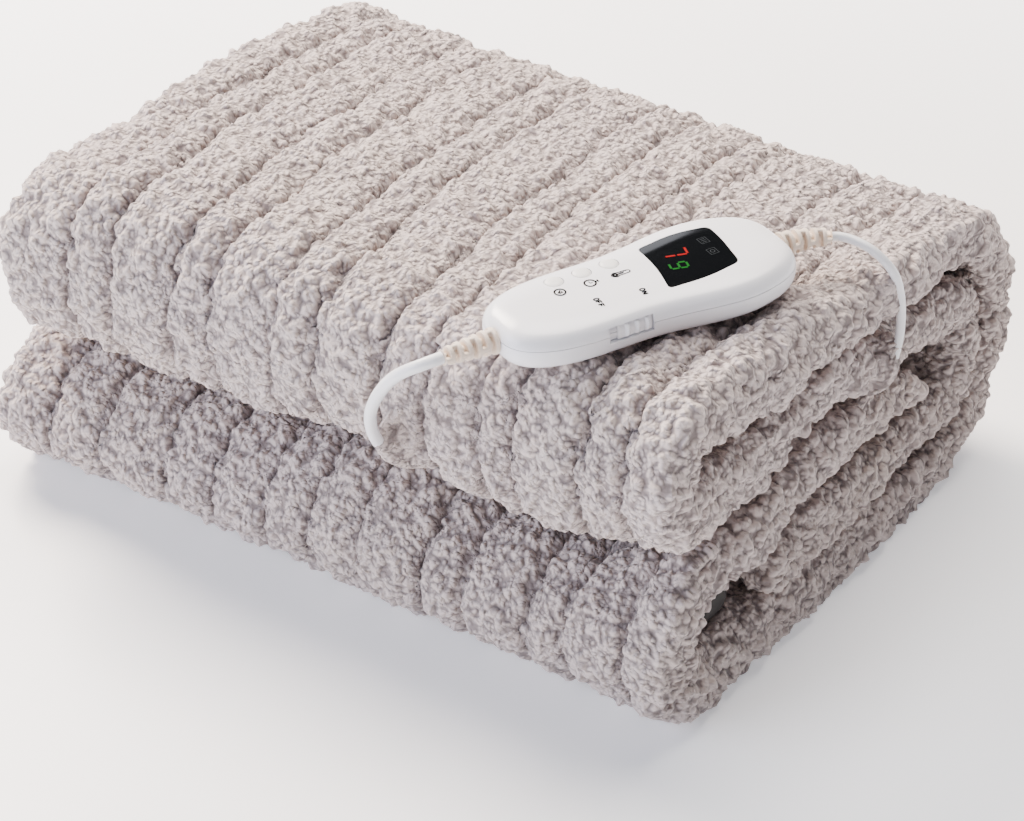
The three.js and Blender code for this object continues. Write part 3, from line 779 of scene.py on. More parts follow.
@dataclass
class MainsLead:
    """The mains lead, over the front roll, between the rolls and round to its coil and plug."""

    diameter: float = 6.0
    coil_at: Pair = (-50.0, 222.0)
    outer: float = 36.0
    inner: float = 30.0
    low: float = 4.2
    high: float = 10.2
    turn_step: float = 10.0
    plug_at: Triple = (46.6, 193.6, 7.0)
    tie_wide: float = 9.0
    tie_thick: float = 0.9
    tie_slack: float = 0.5
    plug_rows: tuple[tuple[float, ...], ...] = (
        (0.0, 4.6, 4.6, 1.0), (0.8, 6.4, 5.8, 0.8), (9.0, 7.6, 6.6, 0.62), (14.0, 11.0, 6.8, 0.5),
        (18.0, 12.9, 6.85, 0.42), (32.0, 13.0, 6.8, 0.36), (34.4, 12.4, 6.2, 0.36), (35.3, 11.0, 5.0, 0.36),
    )
    pin_rows: tuple[Pair, ...] = (
        (35.6, 1.95), (44.0, 1.95), (44.3, 2.0), (52.4, 2.0), (53.6, 1.7), (54.3, 1.1), (54.6, 0.4),
    )
    pin_apart: float = 18.6
    relief_from: float = -20.3
    relief_long: float = 20.0
    relief_thin: float = 3.7
    relief_flare: float = 1.4
    relief_groove: float = 0.5

    def coil(self) -> np.ndarray:
        """Winds three turns: round the outside, then inside, up, and out over the first."""
        turned = np.arange(0.0, 3 * 360.0 + 0.1, self.turn_step)
        inward = eased(turned, 290, 360)
        upward = eased(turned, 360 + 190, 360 + 290)
        outward = eased(turned, 720 + 100, 720 + 190)
        radius = self.outer + (self.inner - self.outer) * (inward - outward)
        height = self.low + (self.high - self.low) * upward
        angle = np.radians(turned - 90)
        x, y = self.coil_at
        return np.column_stack([x + radius * np.cos(angle), y + radius * np.sin(angle), height])

    def tie(self) -> Piece:
        """Makes the strap round the back of the coil."""
        x, y = self.coil_at
        y, z = y + (self.outer + self.inner) / 2, (self.low + self.high) / 2
        half, wide, count = self.diameter + self.tie_slack, self.tie_wide / 2, 48
        turns = np.linspace(0, 2 * math.pi, count, endpoint=False)
        across, up = squared(np.cos(turns), 0.4), squared(np.sin(turns), 0.4)
        edges = []
        for side, reach in (
            (-wide, half), (-wide, half + self.tie_thick), (wide, half + self.tie_thick), (wide, half)
        ):
            edges.append(np.column_stack([np.full(count, x + side), y + reach * across, z + reach * up]))
        near = np.arange(4 * count).reshape(count, 4)
        far = np.roll(near, -1, 0)
        faces = np.stack([near, np.roll(near, -1, 1), np.roll(far, -1, 1), far], axis=-1).reshape(-1, 4)
        vertices = np.stack(edges, 1).reshape(-1, 3)
        return make_mesh("cord_tie_strap", vertices, faces.tolist(), CORD_PVC.material(), 40)

    def plug_form(self, name: str, rows: np.ndarray, finish: Finish, shift: float = 0.0) -> Piece:
        """Makes a rounded form of the plug, smooth from row to row.

        Args:
            name: The piece's name.
            rows: Distance along, half width, half height, and how square the section is.
            finish: Its finish.
            shift: How far it lies towards +Y from the plug's middle.

        Returns:
            The closed piece.
        """
        rows = np.array(rows, float)
        along = rows[:, 0]
        steps = [np.linspace(a, b, 5, endpoint=False) for a, b in zip(along, along[1:])]
        dense = np.concatenate([*steps, along[-1:]])
        sizes = [np.interp(dense, along, rows[:, k]) for k in (1, 2, 3)]
        x, y, z = self.plug_at
        return bar(name, np.column_stack([dense, *sizes]), (x, y + shift, z), 48, finish)

    def build(self) -> None:
        route = np.vstack([MAINS_ROUTE, self.coil(), TAIL_ROUTE])
        nodes = ("mains_cord", "mains_coil", "mains_tail")
        lead, length = Lead("mains_lead", route, self.diameter, nodes).build()
        body = self.plug_form("mains_plug", self.plug_rows, CORD_PVC)
        thick = [
            self.relief_thin + self.relief_flare * t - self.relief_groove * (k % 2)
            for k, t in enumerate(np.linspace(0, 1, 13))
        ]
        starts = self.relief_from + self.relief_long * np.linspace(0, 1, 13)
        relief = self.plug_form(
            "mains_plug_relief", np.column_stack([starts, thick, thick, np.ones(13)]), CORD_PVC
        )
        pins = []
        for side, name in ((-1, "plug_pin_front"), (1, "plug_pin_back")):
            rows = [(along, radius, radius, 1.0) for along, radius in self.pin_rows]
            pins.append(self.plug_form(name + "_turned", rows, PIN_PLATING, side * self.pin_apart / 2))
            register(pins[-1], Body.SET, Slot.PIN, name)
        tie = self.tie()
        for piece, node in ((body, "plug_body"), (relief, "plug_relief"), (tie, "cord_tie")):
            register(piece, Body.SET, Slot.PVC, node)


@dataclass
class BlanketLead:
    """The lead from the handset to the blanket's connector in the lower front fold."""

    diameter: float = 4.6
    connector_from: float = 146.0
    connector_y: float = -103.5
    connector_z: float = 47.3
    connector_wide: float = 28.0
    connector_thick: float = 19.4
    squareness: float = 0.6
    rows: tuple[Pair, ...] = (
        (0, 0.50), (0.8, 0.6), (2, 0.68), (8, 0.86), (16, 0.97), (26, 1.0), (27, 0.97), (28, 1.0), (40, 1.0),
        (43, 0.95), (46.4, 0.86), (47.6, 0.76), (48, 0.62),
    )
    sleeve_from: float = 132.3
    sleeve_long: float = 13.4
    sleeve_thin: float = 3.3
    sleeve_flare: float = 1.1
    sleeve_groove: float = 0.35
    sides: int = 56

    def build(self) -> None:
        route = np.array(LEAD_ROUTE, float)
        lead, length = Lead("blanket_cord", route, self.diameter, ("blanket_lead",)).build()
        at = (self.connector_from, self.connector_y, self.connector_z)
        rows = [
            (along, size * self.connector_wide / 2, size * self.connector_thick / 2, self.squareness)
            for along, size in self.rows
        ]
        connector = bar("cord_connector", rows, at, self.sides, SHADED_CONNECTOR_NYLON)
        register(connector, Body.SET, Slot.GREY, "lead_connector")
        sleeve = []
        for k, along in enumerate(np.linspace(self.sleeve_from, self.sleeve_from + self.sleeve_long, 15)):
            share = (along - self.sleeve_from) / self.sleeve_long
            radius = self.sleeve_thin + self.sleeve_flare * share - (self.sleeve_groove if k % 2 else 0.0)
            sleeve.append((along, radius, radius, 1.0))
        relief = bar("cord_connector_sleeve", sleeve, (0.0, *at[1:]), self.sides, SHADED_CONNECTOR_NYLON)
        register(relief, Body.SET, Slot.GREY, "connector_relief")


# ---------------------------------------------------------------- fleece


@dataclass(frozen=True)
class Fold:
    """One bend of the cloth, or one point of a flat layer.

    Angles turn from +Y towards +Z. The cloth reaches from left to right along X, its ribs
    have drifted along X by lean, and their grooves are ridge deep.
    """

    name: str
    y: float
    z: float
    radius: float
    start: float
    end: float
    thick: float
    left: float
    right: float
    lean: float
    ridge: float


FOLDS = (
    Fold("tucked_hem", 52.5, 81.5, 0, 0, 0, 25, -188, 209, 0, 1),
    Fold("third_middle", -25.5, 83, 0, 0, 0, 28, -193, 213, 0, 1),
    Fold("third_front", -80, 82.5, 0, 0, 0, 29, -195, 213, 0, 1),
    Fold("lower_front", -123.5, 47, 28.5, 90, 270, 37, -213, 208, 0, 2.6),
    Fold("bottom", -25.5, 16.5, 0, 0, 0, 33, -205, 211, 0, 0),
    Fold("outer_back", 90.2, 81.5, 68, -90, 90, 27, -196, 210, -28, 2.4),
    Fold("top", -25.5, 161.5, 0, 0, 0, 37, -193, 213, -13, 3.2),
    Fold("upper_front", -125.5, 145, 23.5, 90, 270, 38, -201, 207, 0, 3.2),
    Fold("second", -25.5, 123, 0, 0, 0, 34, -193, 213, 0, 1),
    Fold("inner_back", 92.5, 80, 31, 90, -90, 26, -190, 209, 0, 1),
    Fold("fourth", -25.5, 48.5, 0, 0, 0, 29, -193, 212, 0, 1),
    Fold("inner_hem", -63.5, 49, 0, 0, 0, 27, -190, 209, 0, 1),
)


class Region(Enum):
    """The parts of the pile, each a piece of its own, numbered on the cloth's faces."""

    BARE = 0
    BACK = 1
    TOP = 2
    UPPER_FRONT = 3
    LOWER_FRONT = 4
    LEFT_END = 5
    RIGHT_END = 6


@dataclass
class HandsetPlace:
    """Where the handset lies, and its outer size."""

    x: float = 137.0
    y: float = -88.0
    z: float = 185.0
    yaw: float = 65.9
    long: float = 157.0
    height: float = 20.0

    def matrix(self) -> Matrix:
        """From the handset's own frame to the frame, in millimetres."""
        return Matrix.Translation((self.x, self.y, self.z)) @ Matrix.Rotation(math.radians(self.yaw), 4, "Z")

    def local(self, x: np.ndarray, y: np.ndarray) -> tuple[np.ndarray, np.ndarray]:
        """Turns places in the frame into u and v."""
        turn = math.radians(self.yaw)
        dx, dy = x - self.x, y - self.y
        return dx * math.cos(turn) + dy * math.sin(turn), dy * math.cos(turn) - dx * math.sin(turn)


PLACE = HandsetPlace()
KEYS = {"button_power": -36.0, "button_timer": -21.0, "button_heat": -6.0}


@dataclass
class FoldedFleece:
    """The folded cloth and its pile: a ribbed back-and-forth section, covered in curled nubs."""

    ribs: tuple[float, ...] = (-153, -127, -87, -62, -24, 1, 42, 66, 98, 115, 153, 178)
    lower_ribs: tuple[float, ...] = (-174, -140, -98, -65, -32, -5, 25, 64, 88, 126, 148, 182)
    rib_reach: float = 5.5
    rib_depth: float = 1.35
    rib_flat: float = 6.0
    ground_ribs: float = 1.7
    ground_sink: float = 1.2
    lean_reach: float = 190.0
    wander: float = 3.0
    drift_size: float = 55.0
    sway_size: float = 40.0
    rib_mean: float = 0.85
    rib_spread: float = 0.5
    columns: int = 80
    end_steps: int = 9
    step: float = 5.2
    hem_turn: float = 0.985
    sink: float = 2.8
    clear: float = 0.1
    # How the cloth settles. A pair is where a move begins and ends along the axis in its name.
    foot_z: float = 16.0
    sag: tuple[Pair, ...] = ((-200, 21), (-110, 20), (-50, 16), (20, 9), (90, 17), (150, 16), (208, 14))
    sag_y: Pair = (-95, -20)
    sag_below_z: Pair = (8, 80)
    sag_above_z: Pair = (112, 178)
    held_x: Pair = (95, 150)
    held_rise: Pair = (44, 12)
    droop: float = 17.0
    droop_x: Pair = (-212, -135)
    droop_y: Pair = (-115, 10)
    droop_z: Pair = (110, 185)
    prop: float = 15.0
    prop_x: Pair = (135, 210)
    prop_y: Pair = (-45, 85)
    prop_below_z: Pair = (50, 75)
    bed_half: Pair = (79, 34)
    bed_fade: Pair = (14, 42)
    bed_depth: float = 2.2
    # How rough the cloth is, and where its ends, its top and its open faces begin.
    swell: float = 1.5
    swell_size: float = 0.034
    lump: float = 0.8
    lump_size: float = 0.011
    under: Pair = (84, 38)
    under_share: float = 0.3
    floor_fade: Pair = (0.001, 0.008)
    lumps_fade: Pair = (0.25, 0.8)
    foot_tilt: float = -0.6
    foot_to: float = 0.004
    top_from: float = 0.15
    top_tilt: float = 0.75
    end_tilt: float = 0.62
    open_fade: Pair = (0.05, 0.25)
    grown_from: float = 0.08
    # How the pile grows, in its clumps and crevices and under the handset.
    nub_height: float = 2.1
    curl_height: float = 0.2
    clump_size: float = 10.0
    clump_height: float = 3.2
    end_extra: float = 0.12
    extra_fade: Pair = (0.3, 0.9)
    end_flat: float = 0.62
    end_puff: float = 0.11
    puff_fade: Pair = (12, 45)
    end_lumps: float = 2.6
    ragged: float = 5.0
    fade: float = 0.3679  # 1 / e, so that a groove is a third as deep one reach away
    # The crease mask is full where a rib crevice is crease_full deep, and at most crease_top; it sets the
    # painted crevice shade and thins the pile there.
    crease_full: float = 4.0
    crease_top: float = 0.9
    crevice_reach: float = 2.0
    crevice_share: float = 0.7
    crevice_thin: float = 0.7
    bed_slope: float = 0.7
    bed_u: float = 71.0
    bed_v: float = 24.0
    # How the pile rises round the leads, and the heights between which it closes over each.
    mains_sinks: Pair = (122, 134)
    lead_sinks: Pair = (120, 176)
    nest_reach: float = 9.0
    nest_cover: float = 2.2
    nest_edge: float = 12.0
    nest_far: float = 16.0
    nest_fade: Pair = (7, 13)
    nest_batches: int = 60

    # ---- the cloth's section

    def stations(self) -> dict[str, np.ndarray]:
        """Walks the section.

        Returns:
            By name: places, directions and the cloth's sizes at each station.
        """
        keys = ("thick", "left", "right", "lean", "ridge")
        rows: list[list[float]] = []
        for index, fold in enumerate(FOLDS):
            sizes = [getattr(fold, key) for key in keys]
            sweep = math.radians(fold.end - fold.start)
            outside = abs(sweep) * (fold.radius + fold.thick / 2)
            steps = max(1, round(outside / self.step)) if fold.radius else 0
            for i in range(steps + 1):
                angle = math.radians(fold.start) + (sweep * i / steps if steps else 0.0)
                y, z = fold.y + fold.radius * math.cos(angle), fold.z + fold.radius * math.sin(angle)
                rows.append([y, z, *sizes, index])
            if index + 1 == len(FOLDS):
                break
            after = FOLDS[index + 1]
            angle = math.radians(after.start)
            goal = [after.y + after.radius * math.cos(angle), after.z + after.radius * math.sin(angle)]
            goal += [getattr(after, key) for key in keys]
            begin = rows[-1][:-1]
            runs = max(2, round(math.dist(begin[:2], goal[:2]) / self.step))
            for i in range(1, runs):
                share = i / runs
                soft = float(eased(np.array(share), 0, 1))
                ways = [share, share, *[soft] * len(keys)]
                mixed = [a + (b - a) * way for a, b, way in zip(begin, goal, ways)]
                rows.append([*mixed, index if share < 0.5 else index + 1])
        table = np.array(rows)
        place = table[:, :2]
        ahead = np.vstack([place[1:], place[-1:]])
        behind = np.vstack([place[:1], place[:-1]])
        heading = ahead - behind
        heading /= np.linalg.norm(heading, axis=1)[:, None]
        table = np.hstack([table, heading])
        table = np.vstack([self.hem(table[0], -1), table, self.hem(table[-1], 1)])
        names = ("y", "z", *keys, "fold", "dy", "dz")
        found = {name: table[:, k] for k, name in enumerate(names)}
        lengths = np.hypot(np.diff(found["y"]), np.diff(found["z"]))
        found["along"] = np.concatenate([[0.0], np.cumsum(lengths)])
        return found

    def hem(self, row: np.ndarray, sense: int) -> np.ndarray:
        """Rounds off a free edge past the last full station.

        Args:
            row: The last full station.
            sense: -1 before the cloth, 1 after it.

        Returns:
            The stations of the rounded edge.
        """
        angles = np.linspace(0, math.pi / 2, 6)[1:] * self.hem_turn
        made = np.repeat(row[None, :], len(angles), 0)
        made[:, :2] += row[8:10] * (sense * row[2] / 2 * np.sin(angles))[:, None]
        made[:, 2] = row[2] * np.cos(angles)
        made[:, 6] = 0
        return made[::-1] if sense < 0 else made

    def rib_rows(self, x: np.ndarray, s: dict[str, np.ndarray]) -> tuple[np.ndarray, np.ndarray, np.ndarray]:
        """Numbers the ribs across the show side, so that each crevice lies at a whole number.

        Args:
            x: Places along X, by station and column.
            s: The stations.

        Returns:
            The rib number, the width of the rib there, and the depth of its crevices.
        """
        lower = np.array([FOLDS[int(k)].name == "lower_front" for k in s["fold"]])
        count = len(self.ribs)
        lines = np.empty((len(x), count))
        depth = np.empty((len(x), count))
        for number, (main, other) in enumerate(zip(self.ribs, self.lower_ribs)):
            drift = np.array(
                [noise.noise(Vector((a / self.drift_size, number * 7.3, 0))) for a in s["along"]]
            )
            lines[:, number] = np.where(lower, other, main + s["lean"] * (1 - (main / self.lean_reach) ** 4))
            lines[:, number] += self.wander * drift
            sway = np.array([noise.noise(Vector((a / self.sway_size, number * 3.1, 9))) for a in s["along"]])
            depth[:, number] = s["ridge"] * self.rib_depth * (self.rib_mean + self.rib_spread * sway)
        rib, wide, deep = np.empty_like(x), np.empty_like(x), np.empty_like(x)
        for row, (at, line) in enumerate(zip(x, lines)):
            first, last = line[1] - line[0], line[-1] - line[-2]
            known = np.concatenate([[line[0] - first / 2], line, [line[-1] + last / 2]])
            rib[row] = np.interp(at, known, [-0.5, *range(count), count - 0.5])
            spacing = np.diff(line)
            wide[row] = spacing[np.clip(np.floor(rib[row]).astype(int), 0, count - 2)]
            deep[row] = depth[row][np.clip(np.rint(rib[row]).astype(int), 0, count - 1)]
        return rib, wide, deep

    def settle(self, points: np.ndarray) -> np.ndarray:
        """Lets the upper roll sag in front, props its right corner, beds the handset and flattens the foot.

        Args:
            points: Places in the frame.

        Returns:
            The settled places.
        """
        x, y, z = points[..., 0], points[..., 1], points[..., 2]
        z = z - (self.sink - self.clear) * (1 - eased(z, self.sink, self.foot_z))
        hold = eased(x, *self.held_x)
        low, high = (edge + rise * hold for edge, rise in zip(self.sag_below_z, self.held_rise))
        squeeze = eased(z, low, high) * (1 - eased(z, *self.sag_above_z))
        z = z - eased_rows(self.sag, x) * squeeze * (1 - eased(y, *self.sag_y))
        corner = (1 - eased(x, *self.droop_x)) * (1 - eased(y, *self.droop_y))
        z = z - self.droop * corner * eased(z, *self.droop_z)
        place = eased(x, *self.prop_x) * (1 - eased(y, *self.prop_y))
        band = eased(z, *self.prop_below_z) * (1 - eased(z, *self.droop_z))
        lifted = z + self.prop * place * band
        u, v = (np.maximum(np.abs(way) - half, 0) for way, half in zip(PLACE.local(x, y), self.bed_half))
        over = np.maximum(0, lifted - (PLACE.z - self.bed_depth))
        return np.stack([x, y, lifted - over * (1 - eased(np.hypot(u, v), *self.bed_fade))], axis=-1)

    def cloth(self) -> tuple[Piece, Piece]:
        """Makes the cloth twice: smooth, to grow the pile on, and with its ribs pressed in.

        Returns:
            The smooth cloth with the pile's attributes, and the pressed one.
        """
        s = self.stations()
        half = (s["thick"] / 2 - self.sink).clip(0.4)[:, None]
        left, right = (s["left"] + self.sink)[:, None], (s["right"] - self.sink)[:, None]
        arc = (np.arange(1, (self.end_steps + 1) // 2) - 0.5) / self.end_steps * math.pi
        share = np.linspace(0, 1, self.columns + 1)[None, :]
        turn_in = half * self.end_flat * (1 - np.cos(arc))
        middle_x = left + half * self.end_flat + (right - left - 2 * half * self.end_flat) * share
        x = np.hstack([left + turn_in, middle_x, (right - turn_in)[:, ::-1]])
        off = np.hstack([half * np.sin(arc), half + 0 * share, (half * np.sin(arc))[:, ::-1]])
        off *= 1 + self.end_puff * (1 - eased(np.minimum(x - left, right - x), *self.puff_fade))
        rib, wide, deep = self.rib_rows(x, s)
        deep *= eased(off / half, 0.8, 1.0)
        beside = np.maximum(np.abs(rib - np.rint(rib)) * wide - self.rib_flat, 0)
        hollow = deep * np.exp(-beside / self.rib_reach)
        ring_x = np.hstack([x, x[:, ::-1]])
        dy, dz = s["dy"][:, None], s["dz"][:, None]
        made = []
        ground_press = self.ground_ribs * hollow + self.ground_sink
        for name, pressed in (("fleece_base", 0 * hollow), ("fleece_ground", ground_press)):
            ring_off = np.hstack([off - pressed, -off[:, ::-1]])
            ring_y, ring_z = s["y"][:, None] + dz * ring_off, s["z"][:, None] - dy * ring_off
            vertices, faces = loft(self.settle(np.stack([ring_x, ring_y, ring_z], axis=-1)))
            made.append(make_mesh(name, vertices, faces, FLEECE.material()))
        base, ground = made
        for cloth in made:
            self.roughen(cloth)
        one = np.ones_like(rib)
        fields = {
            "rib": np.hstack([rib, 0.5 * one]),
            "rib_wide": np.hstack([wide, 30 * one]) * MM,
            "rib_deep": np.hstack([deep, 0 * one]) * MM,
        }
        for name, values in fields.items():
            add_layer(base.data, name, "FLOAT", values)
        self.mark(base, np.broadcast_to(s["fold"][:, None], ring_x.shape).ravel().astype(int))
        return base, ground

    def vectors(self, mesh: bpy.types.Mesh) -> tuple[np.ndarray, np.ndarray]:
        """Reads a mesh's places and normals, one vertex to a row."""
        places = read_vectors(mesh.vertices, "co")
        return places.astype(float), read_vectors(mesh.vertex_normals, "vector").astype(float)

    def roughen(self, made: Piece) -> None:
        """Makes the cloth uneven, except on the floor and under the handset, and keeps its first places."""
        mesh = made.data
        places, normals = self.vectors(mesh)
        add_layer(mesh, "nap", "FLOAT_VECTOR", places)
        wide = np.array([noise.noise(Vector(p) / self.swell_size) for p in places])
        small = np.array([noise.noise(Vector(p) / self.lump_size) for p in places])
        end = eased(np.abs(normals[:, 0]), *self.lumps_fade)
        rise = ((self.swell + self.end_lumps * end) * wide + (self.lump + self.end_lumps * end) * small) * MM
        u, v = PLACE.local(places[:, 0] / MM, places[:, 1] / MM)
        under = (np.abs(u) < self.under[0]) & (np.abs(v) < self.under[1]) & (places[:, 2] > self.top_from)
        rise = np.where(under, np.minimum(rise, 0) * self.under_share, rise)
        rise *= eased(places[:, 2], *self.floor_fade)
        move_vertices(mesh, places + normals * rise[:, None])

    # ---- the pile

    def openness(self, made: Piece, places: np.ndarray, normals: np.ndarray) -> np.ndarray:
        """How much of the cloth can be seen from outside.

        Args:
            made: The cloth.
            places: Its vertices in metres.
            normals: Their normals.

        Returns:
            The share of rays from each vertex that leave the blanket.
        """
        tree = BVHTree.FromObject(made, bpy.context.evaluated_depsgraph_get())
        tilt, reach, clear = 1.1, 0.16, 0.0035
        free = np.zeros(len(places))
        for number, (p, n) in enumerate(zip(places, normals)):
            axis = Vector(n)
            across = axis.orthogonal().normalized()
            aside = axis.cross(across)
            start = Vector(p) + axis * clear
            rays = [axis] + [
                axis * math.cos(tilt) + (across * math.cos(t) + aside * math.sin(t)) * math.sin(tilt)
                for t in (0.0, 1.57, 3.14, 4.71)
            ]
            free[number] = sum(tree.ray_cast(start, ray, reach)[0] is None for ray in rays) / len(rays)
        return free

    def mark(self, made: Piece, fold: np.ndarray) -> None:
        """Writes how high the pile stands on the vertices, and its region on the faces.

        Args:
            made: The cloth.
            fold: The number of each vertex's fold.
        """
        mesh = made.data
        places, normals = self.vectors(mesh)
        grows = eased(self.openness(made, places, normals), *self.open_fade)
        grows *= ~((normals[:, 2] < self.foot_tilt) & (places[:, 2] < self.foot_to))
        grows *= 1 + self.end_extra * eased(np.abs(normals[:, 0]), *self.extra_fade)
        add_layer(mesh, "grows", "FLOAT", grows)
        names = np.array([row.name for row in FOLDS])[fold]
        region = np.where(places[:, 0] < 0, Region.LEFT_END.value, Region.RIGHT_END.value)
        middle = np.abs(normals[:, 0]) < self.end_tilt
        for part, name in (
            (Region.BACK, "outer_back"),
            (Region.UPPER_FRONT, "upper_front"),
            (Region.LOWER_FRONT, "lower_front"),
        ):
            region[middle & (names == name)] = part.value
        region[middle & (normals[:, 2] > self.top_tilt) & (places[:, 2] > self.top_from)] = Region.TOP.value
        corners = np.array([polygon.vertices[0] for polygon in mesh.polygons])
        highest = np.array([grows[list(polygon.vertices)].max() for polygon in mesh.polygons])
        region = np.where(highest > self.grown_from, region[corners], Region.BARE.value)
        add_layer(mesh, "region", "INT", region, "FACE")

    def new_tree(self, name: str, kinds: dict[str, str]) -> tuple[Tree, bpy.types.NodeOutputs]:
        """Starts a node tree that takes a geometry and gives one.

        Args:
            name: The tree's name.
            kinds: The types of its further inputs, by name.

        Returns:
            The tree, and the sockets of its inputs.
        """
        tree = bpy.data.node_groups.new(name, "GeometryNodeTree")
        for label, kind in {"Geometry": "Geometry", **kinds}.items():
            tree.interface.new_socket(label, in_out="INPUT", socket_type="NodeSocket" + kind)
        tree.interface.new_socket("Geometry", in_out="OUTPUT", socket_type="NodeSocketGeometry")
        return tree, add_node(tree, "NodeGroupInput").outputs

    def pile_tree(self) -> Tree:
        """Builds the node tree that raises the ribs and their curled nubs from the smooth cloth.

        Returns:
            The tree, with its sizes as named inputs.
        """
        floats = (
            "Nubs per Metre", "Nub Height", "Curls per Metre", "Curl Height", "Clumps per Metre",
            "Clump Height", "Rib Reach", "Crevice Reach", "Ragged", "Floor", "Bed", "Bed U", "Bed V"
        )
        kinds = dict.fromkeys(floats, "Float") | dict.fromkeys(("Handset", "U Axis", "V Axis"), "Vector")
        tree, given = self.new_tree("sherpa_pile", {**kinds, "Fineness": "Int", "Finish": "Material"})
        found: dict[str, Socket] = {socket.name: socket for socket in given}
        # What the cloth carries: its attributes, its normals and its places.
        floats = dict.fromkeys(("grows", "rib", "rib_wide", "rib_deep", "crease"), "FLOAT")
        layers = {"region": "INT", "upright": "FLOAT_VECTOR", "nap": "FLOAT_VECTOR", **floats}
        for name, kind in layers.items():
            read = add_node(tree, "GeometryNodeInputNamedAttribute", {"Name": name}, data_type=kind)
            found[name] = read.outputs["Attribute"]
        found["normal"] = add_node(tree, "GeometryNodeInputNormal").outputs["Normal"]
        found["place"] = add_node(tree, "GeometryNodeInputPosition").outputs["Position"]
        part = add_node(tree, "ShaderNodeSeparateXYZ", {0: found["place"]}).outputs
        found["z"] = part["Z"]
        # Nubs: rounded cells with small curls on them, and clumps under both.
        for name in ("Nub", "Curl", "Clump"):
            found[name], _ = FLEECE.nubs(tree, found["nap"], found[f"{name}s per Metre"])
        _, found["own"] = FLEECE.nubs(tree, found["place"], found["Clumps per Metre"])
        depth = {"Value": found["rib_deep"], "From Max": self.crease_full * MM, "To Max": self.crease_top}
        found["marked"] = add_node(tree, "ShaderNodeMapRange", depth).outputs[0]
        # Each step has its result, its kind of node and operation, and its inputs in order. A name
        # is a socket or an earlier result.
        for name, kind, operation, *inputs in (
            # Crevices: a sharp fold at each whole rib number, out of line from clump to clump.
            ("whole", "Math", "ROUND", "rib"),
            ("off", "Math", "SUBTRACT", "rib", "whole"),
            ("off", "Math", "MULTIPLY", "off", "rib_wide"),
            ("stray", "Math", "SUBTRACT", "own", 0.5),
            ("off", "Math", "MULTIPLY_ADD", "stray", "Ragged", "off"),
            ("off", "Math", "ABSOLUTE", "off"),
            ("soft", "Math", "DIVIDE", "off", "Rib Reach"),
            ("soft", "Math", "POWER", self.fade, "soft"),
            ("sharp", "Math", "DIVIDE", "off", "Crevice Reach"),
            ("sharp", "Math", "POWER", self.fade, "sharp"),
            # The crevice mask, stored as crease, sets the finish's painted crevice shade.
            ("crevice", "Math", "MULTIPLY", "sharp", "marked"),
            ("fall", "Math", "MULTIPLY_ADD", "sharp", self.crevice_share, "soft"),
            ("fall", "Math", "MULTIPLY", "fall", "rib_deep"),
            ("fall", "Math", "MULTIPLY", "fall", -1.0),
            ("down", "VectorMath", "SCALE", "upright", None, None, "fall"),
            ("leaning", "VectorMath", "ADD", "upright", "normal"),
            # The pile is thin in the crevices and where the cloth is shut in.
            ("height", "Math", "MULTIPLY", "Nub", "Nub Height"),
            ("height", "Math", "MULTIPLY_ADD", "Curl", "Curl Height", "height"),
            ("height", "Math", "MULTIPLY_ADD", "Clump", "Clump Height", "height"),
            ("thin", "Math", "MULTIPLY_ADD", "crease", -self.crevice_thin, 1.0),
            ("height", "Math", "MULTIPLY", "height", "thin"),
            ("height", "Math", "MULTIPLY", "height", "grows"),
            ("up", "VectorMath", "NORMALIZE", "upright"),
            ("offset", "VectorMath", "SCALE", "up", None, None, "height"),
            # It stays above the floor, and lies down under the handset and its rounded edge.
            ("away", "VectorMath", "SUBTRACT", "place", "Handset"),
            ("past u", "VectorMath", "DOT_PRODUCT", "away", "U Axis"),
            ("past u", "Math", "ABSOLUTE", "past u"),
            ("past u", "Math", "SUBTRACT", "past u", "Bed U"),
            ("past v", "VectorMath", "DOT_PRODUCT", "away", "V Axis"),
            ("past v", "Math", "ABSOLUTE", "past v"),
            ("past v", "Math", "SUBTRACT", "past v", "Bed V"),
            ("beyond", "Math", "MAXIMUM", "past u", "past v"),
            ("beyond", "Math", "MAXIMUM", "beyond", 0.0),
            ("lid", "Math", "MULTIPLY_ADD", "beyond", self.bed_slope, "Bed"),
            ("level", "Math", "MINIMUM", "z", "lid"),
            ("level", "Math", "MAXIMUM", "level", "Floor"),
        ):
            values = {at: found.get(value, value) for at, value in enumerate(inputs) if value is not None}
            node = add_node(tree, "ShaderNode" + kind, values, operation=operation)
            found[name] = node.outputs["Value" if operation == "DOT_PRODUCT" else 0]
        held = add_node(tree, "ShaderNodeCombineXYZ", {"X": part["X"], "Y": part["Y"], "Z": found["level"]})
        shut = {2: found["region"], 3: Region.BARE.value}
        grown = add_node(tree, "FunctionNodeCompare", shut, data_type="INT", operation="NOT_EQUAL")
        vector, number = ({"data_type": kind, "domain": "POINT"} for kind in ("FLOAT_VECTOR", "FLOAT"))
        geometry = given["Geometry"]
